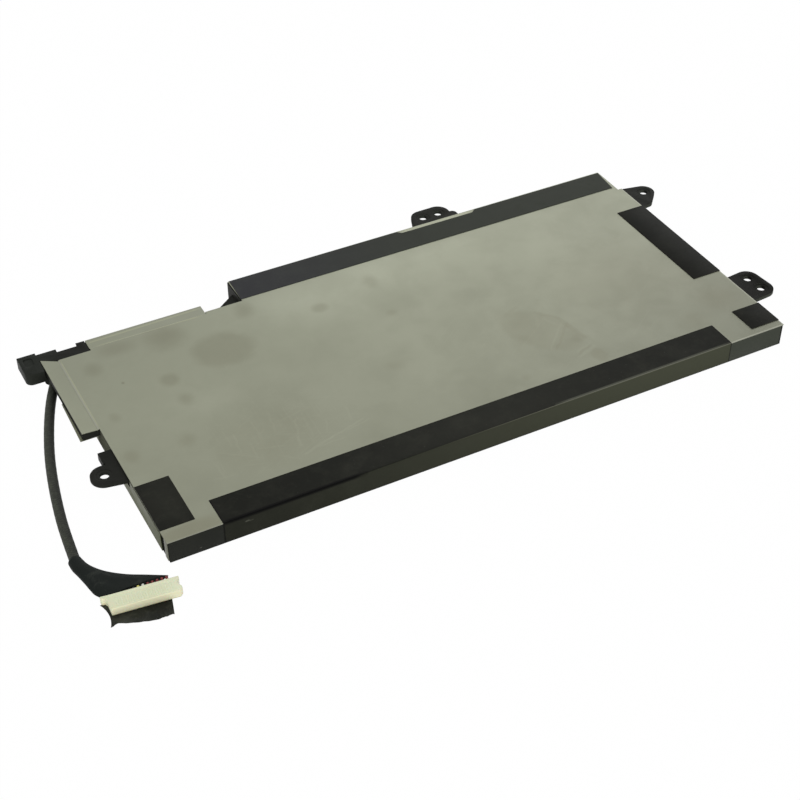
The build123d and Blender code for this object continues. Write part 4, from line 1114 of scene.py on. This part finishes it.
def makeFrontTape(shared, p, material):
    # a profile that lies on the cover, rolls over its edge by an arc and runs down the wall, carried along X
    thickness, clear, r = shared["thickness"], shared["clear"], p["radius"]
    top = coverTop + thickness - p["press"]
    face = p["press"] - thickness
    onTop, round_, down = p["steps"]
    bend = np.linspace(0, math.pi / 2, round_ + 1)[1:]
    profile = np.concatenate([
        np.stack([np.linspace(p["depth"], face + r, onTop), np.full(onTop, top)], -1),
        np.stack([face + r - r * np.sin(bend), top - r + r * np.cos(bend)], -1),
        np.stack([np.full(down, face), np.linspace(top - r, p["hem"], down + 1)[1:]], -1),
    ])
    # the inner side keeps just clear of the cover and of the wall
    inner = profile.copy()
    inner[:, 0] = np.where(profile[:, 1] < coverTop, -clear, np.maximum(profile[:, 0], clear))
    inner[:-1, 1] = np.minimum(profile[:-1, 1], coverTop + clear)
    x = np.linspace(p["left"], p["right"], p["columns"])

    def carried(line):
        return np.stack(np.broadcast_arrays(x[None, :], line[:, :1], line[:, 1:]), -1).astype(float)

    upper, lower = carried(profile), carried(inner)
    ripple = np.abs(0.012 * np.sin(x * 0.31) + 0.01 * np.sin(x * 0.83 + 1.0))
    middle = onTop / 2
    lift = np.clip(1 - np.abs(np.arange(len(profile)) - middle) / middle, 0, 1)
    upper[..., 2] += ripple[None, :] * lift[:, None] * 0.2
    hemWave = np.abs(0.05 * np.sin(x * 0.4) + 0.03 * np.sin(x * 1.1))
    upper[-1, :, 2] += hemWave
    lower[-1, :, 2] += hemWave
    return closeSheet("front_tape_film", upper[:, ::-1], lower[:, ::-1], material, "front_tape")


makeFrontTape(tapes, tapes["front"], films["frontTapeFilm"])
makeFlatTape("back_tape_film", tapes, tapes["back"], films["backTapeFilm"], "back_tape")
makeFlatTape("left_tape_film", tapes, tapes["left"], films["frontTapeFilm"], "left_tape")
print("tapes made")


# Connector

connector = {
    "outline": [
        (0.0, 0.0), (-2.1, 0.15), (-2.0, -0.8), (-0.75, -1.2), (-0.25, -2.2), (0.0, -6.1),
        (21.2, -6.1), (22.1, -5.1), (22.0, -4.2), (21.0, -2.8), (22.1, -0.7), (22.2, 0.0),
    ],
    "low": 0.25,
    "height": 3.1,
    "edge": 0.34,
    "segments": 4,
    "ways": 12,
    "pitch": 1.5,
    "sunk": 0.2,
    # a low rib over each way and a low step behind them, with how far their sides slope in
    "rib": {"half": 0.39, "front": -5.6, "back": -1.9, "rise": 0.08, "slope": 0.16},
    "step": {"left": 0.3, "right": 20.9, "front": -1.25, "back": -0.35, "rise": 0.07, "slope": 0.12},
}


def addPad(shape, left, right, low, top, pad):
    # a low pad with sloped sides: its foot on four corners and its top drawn in by the slope
    front, back = pad["front"], pad["back"]
    foot = np.array([(left, front), (right, front), (right, back), (left, back)], float)
    middle = foot.mean(0)
    crown = middle + (foot - middle) * (1 - pad["slope"] / np.abs(foot - middle).max(0))
    places = [connectorPoint(x, y, low) for x, y in foot] + [connectorPoint(x, y, top) for x, y in crown]
    corner = [shape.verts.new(placeArray(q)) for q in places]
    for quad in ((0, 1, 5, 4), (1, 2, 6, 5), (2, 3, 7, 6), (3, 0, 4, 7), (4, 5, 6, 7), (3, 2, 1, 0)):
        shape.faces.new([corner[i] for i in quad])


def makeConnector(p):
    # the outline raised to the housing's height with rounded edges, and a low rib over each way
    count = len(p["outline"])
    top = p["low"] + p["height"]
    points = [connectorPoint(x, y, z) for z in (p["low"], top) for x, y in p["outline"]]
    # the two ends come first, because the rounding takes the faces in their order
    faces = tubeFaces(2, count)
    obj = makeObject("cream_connector", placeArray(points), faces[-2:] + faces[:-2])

    def finishHousing(shape):
        faceOutwards(shape)
        bmesh.ops.bevel(
            shape, geom=shape.edges[:], offset=p["edge"] * mm, segments=p["segments"], profile=0.5,
            affect="EDGES", clamp_overlap=True,
        )
        rib, step = p["rib"], p["step"]
        first = (connectorPlace["length"] - (p["ways"] - 1) * p["pitch"]) / 2
        for i in range(p["ways"]):
            x = first + i * p["pitch"]
            addPad(shape, x - rib["half"], x + rib["half"], top - p["sunk"], top + rib["rise"], rib)
        addPad(shape, step["left"], step["right"], top - p["sunk"], top + step["rise"], step)
        faceOutwards(shape)

    editMesh(obj, finishHousing)
    return settle(obj, finishes["creamPlastic"], "connector_housing", sharp=40)


connectorObject = makeConnector(connector)
print("connector made")


# Pull flap under the connector

flap = {
    # both edges in the connector's frame: the free edge that lies in front and the edge under the housing
    "near": [(-1.45, -10.2), (0.8, -9.65), (7.2, -11.55), (12.9, -12.2), (15.4, -12.15), (17.45, -11.95)],
    "far": [(-2.35, -0.45), (2.1, -0.6), (6.4, -0.6), (10.6, -0.6), (14.9, -0.6), (19.2, -0.6)],
    "bow": 1.15,
    "freeFrom": 0.55,
    # the crumple's usual height, and the size, pitch along and pitch across of its waves
    "crumple": 0.20,
    "waves": [(0.17, 11, 5), (0.12, 25, -9), (0.05, 61, 13)],
    "low": 0.01,
    "top": 0.235,
    "columns": 60,
    "rows": 36,
}


def makeFlap(p):
    # a sheet ruled between its far and near edges, with a soft crumple near its free edge
    u = np.linspace(0, 1, p["columns"])
    knots = np.linspace(0, 1, len(p["near"]))
    near, far = [
        np.stack(connectorPlan(*[np.interp(u, knots, np.array(p[edge])[:, k]) for k in range(2)]), -1)
        for edge in ("near", "far")
    ]
    v = np.linspace(0, 1, p["rows"])[:, None]
    flat = far[None] + (near - far)[None] * v[..., None]
    # its left edge is drawn in between its two corners
    turn = math.radians(connectorPlace["turn"])
    bow = p["bow"] * np.sin(math.pi * v) ** 0.8 * np.clip(1 - u[None] * 5, 0, 1) ** 1.5
    flat = flat + bow[..., None] * np.array([math.cos(turn), math.sin(turn)])
    free = np.clip((v - p["freeFrom"]) / (1 - p["freeFrom"]), 0, 1) ** 1.2
    crumple = p["crumple"]
    for size, along, across in p["waves"]:
        crumple = crumple + size * np.sin(u[None] * along + v * across)
    lift = free * np.maximum(crumple, 0.0)
    upper = np.dstack([flat, p["top"] + lift])[::-1]
    lower = np.dstack([flat, p["low"] + lift * 0.95])[::-1]
    return closeSheet("pull_flap", upper, lower, films["flapFilm"], "connector_flap")


flapObject = makeFlap(flap)
print("flap made")


# Rounded copies of moulded and folded pieces

rounding = {"segments": 2, "sharpFrom": 28.0, "flatWithin": 1.0, "together": 1e-6}

rounded = {
    "frame": ("moulded_frame", 0.18, mouldedBlack, "frame_plastic"),
    "top_plate": ("metal_cover", 0.07, coverMetal, "cover_metal"),
    "bottom_tray": ("lower_cover", 0.07, trayMetal, "tray_metal"),
    "right_tape_long": ("right_tape_film", 0.05, films["frontTapeFilm"], "tape_black"),
    "right_tape_short": ("right_corner_film", 0.05, films["frontTapeFilm"], "tape_black"),
    "lead_grommet": ("grommet", 0.1, bootRubber, "sleeve_black"),
}


def softCopy(node, name, width, r):
    # a copy of a node with its flat faces joined and its sharp edges rounded
    obj = bpy.data.objects.new(name, nodes[node].data.copy())
    bpy.context.scene.collection.objects.link(obj)

    def joinFlat(shape):
        bmesh.ops.remove_doubles(shape, verts=shape.verts, dist=r["together"])
        flat = math.radians(r["flatWithin"])
        bmesh.ops.dissolve_limit(shape, angle_limit=flat, verts=shape.verts, edges=shape.edges)

    editMesh(obj, joinFlat)
    bevel = obj.modifiers.new("softEdges", "BEVEL")
    bevel.width = width * mm
    bevel.segments = r["segments"]
    bevel.limit_method = "ANGLE"
    bevel.angle_limit = math.radians(r["sharpFrom"])
    bevel.harden_normals = True
    # at a notch narrower than the rounding its points fall together
    weld = obj.modifiers.new("notches", "WELD")
    weld.merge_threshold = r["together"]
    return obj


for nodeName, (pieceName, width, material, slotName) in rounded.items():
    settle(softCopy(nodeName, pieceName, width, rounding), material, nodeName)
print("edges rounded")


# Nodes that keep their shape and get a finish

plainNodes = {
    "pouchFoil": ["cell_left", "cell_middle", "cell_right"],
    "glueFilm": ["cell_adhesives"],
    "blackFoam": ["foam_strips"],
    "nickelStrip": ["cell_tabs", "connector_contacts"],
    "boardMask": ["protection_board"],
    "chipResin": ["power_switches", "gauge_chip", "sense_resistor", "thermistor"],
    "chipCeramic": ["board_fuse", "board_capacitors"],
    "creamPlastic": ["lead_header"],
    "amberFilm": ["board_film"],
    "insulationBlack": ["negative_wire", "inner_wires", "black_wires"],
    "insulationYellow": ["yellow_wire"],
    "insulationWhite": ["white_wire"],
    "insulationRed": ["red_wires"],
}
for finish, nodeNames in plainNodes.items():
    for nodeName in nodeNames:
        nodes[nodeName].data.materials.clear()
        nodes[nodeName].data.materials.append(finishes[finish])
print("plain nodes finished")

onLead = [bootObject, connectorObject, flapObject]
onLead += [nodes[n] for n in ("connector_contacts", "black_wires", "yellow_wire", "white_wire", "red_wires")]


# Floor, world and lamps

stage = {
    "floorHalf": 3.0,
    "floorColour": (0.92, 0.92, 0.92),
    "floorRoughness": 0.9,
    "floorGlow": 0.99,
    "world": 0.62,
    "white": (1.0, 1.0, 1.0),
    "lamps": [
        # name, place, aim, size and power
        ("overheadSoft", (0.10, 0.05, 1.30), (0.0, 0.0, 0.0), 1.6, 3.2),
        ("farRightSoft", (0.75, 0.95, 0.75), (0.05, 0.02, 0.0), 1.0, 2.2),
        ("frontLeftFill", (-0.85, -0.75, 0.55), (0.0, 0.0, 0.0), 0.9, 2.6),
    ],
}


def whereSeen(tree):
    # 1 for rays from the camera and for those off metal and through glass, which meet a white surround
    path = addNode(tree, "ShaderNodeLightPath").outputs
    seen = math2(tree, "MAXIMUM", path["Is Camera Ray"], path["Is Glossy Ray"])
    return math2(tree, "MAXIMUM", seen, path["Is Transmission Ray"])


def makeFloor(p):
    # a pale square that keeps the shadow and is almost white where it is seen
    h = p["floorHalf"]
    floor = makeObject("floor", [(-h, -h, 0), (h, -h, 0), (h, h, 0), (-h, h, 0)], [(0, 1, 2, 3)])
    material, tree, shader = newMaterial("paleFloor")
    feed(tree, shader, Base_Color=p["floorColour"], Roughness=p["floorRoughness"], Specular_IOR_Level=0.0)
    glow = feed(tree, addNode(tree, "ShaderNodeEmission"), Strength=1.0)
    mix = addNode(tree, "ShaderNodeMixShader")
    blend = times(tree, whereSeen(tree), p["floorGlow"])
    for number, value in enumerate((blend, shader.outputs[0], glow.outputs[0])):
        put(tree, value, mix.inputs[number])
    feed(tree, tree.nodes["Material Output"], Surface=mix.outputs[0])
    floor.data.materials.append(material)


def makeWorld(p):
    # a dim white world for the light, and a full white one where it is seen
    world = bpy.data.worlds.new("softWorld")
    world.use_nodes = True
    tree = world.node_tree
    strength = rampOf(tree, whereSeen(tree), 0.0, 1.0, p["world"], 1.0)
    feed(tree, tree.nodes["Background"], Color=p["white"], Strength=strength)
    bpy.context.scene.world = world


def makeLamp(name, spot, aim, size, power):
    data = bpy.data.lights.new(name, "AREA")
    data.shape = "DISK"
    data.size = size
    data.energy = power
    lamp = bpy.data.objects.new(name, data)
    turn = (Vector(aim) - Vector(spot)).to_track_quat("-Z", "Y").to_matrix().to_4x4()
    lamp.matrix_world = Matrix.Translation(Vector(spot)) @ turn
    bpy.context.scene.collection.objects.link(lamp)


makeFloor(stage)
makeWorld(stage)
for lamp in stage["lamps"]:
    makeLamp(*lamp)
bpy.context.scene.view_settings.view_transform = "Standard"
print("stage set")
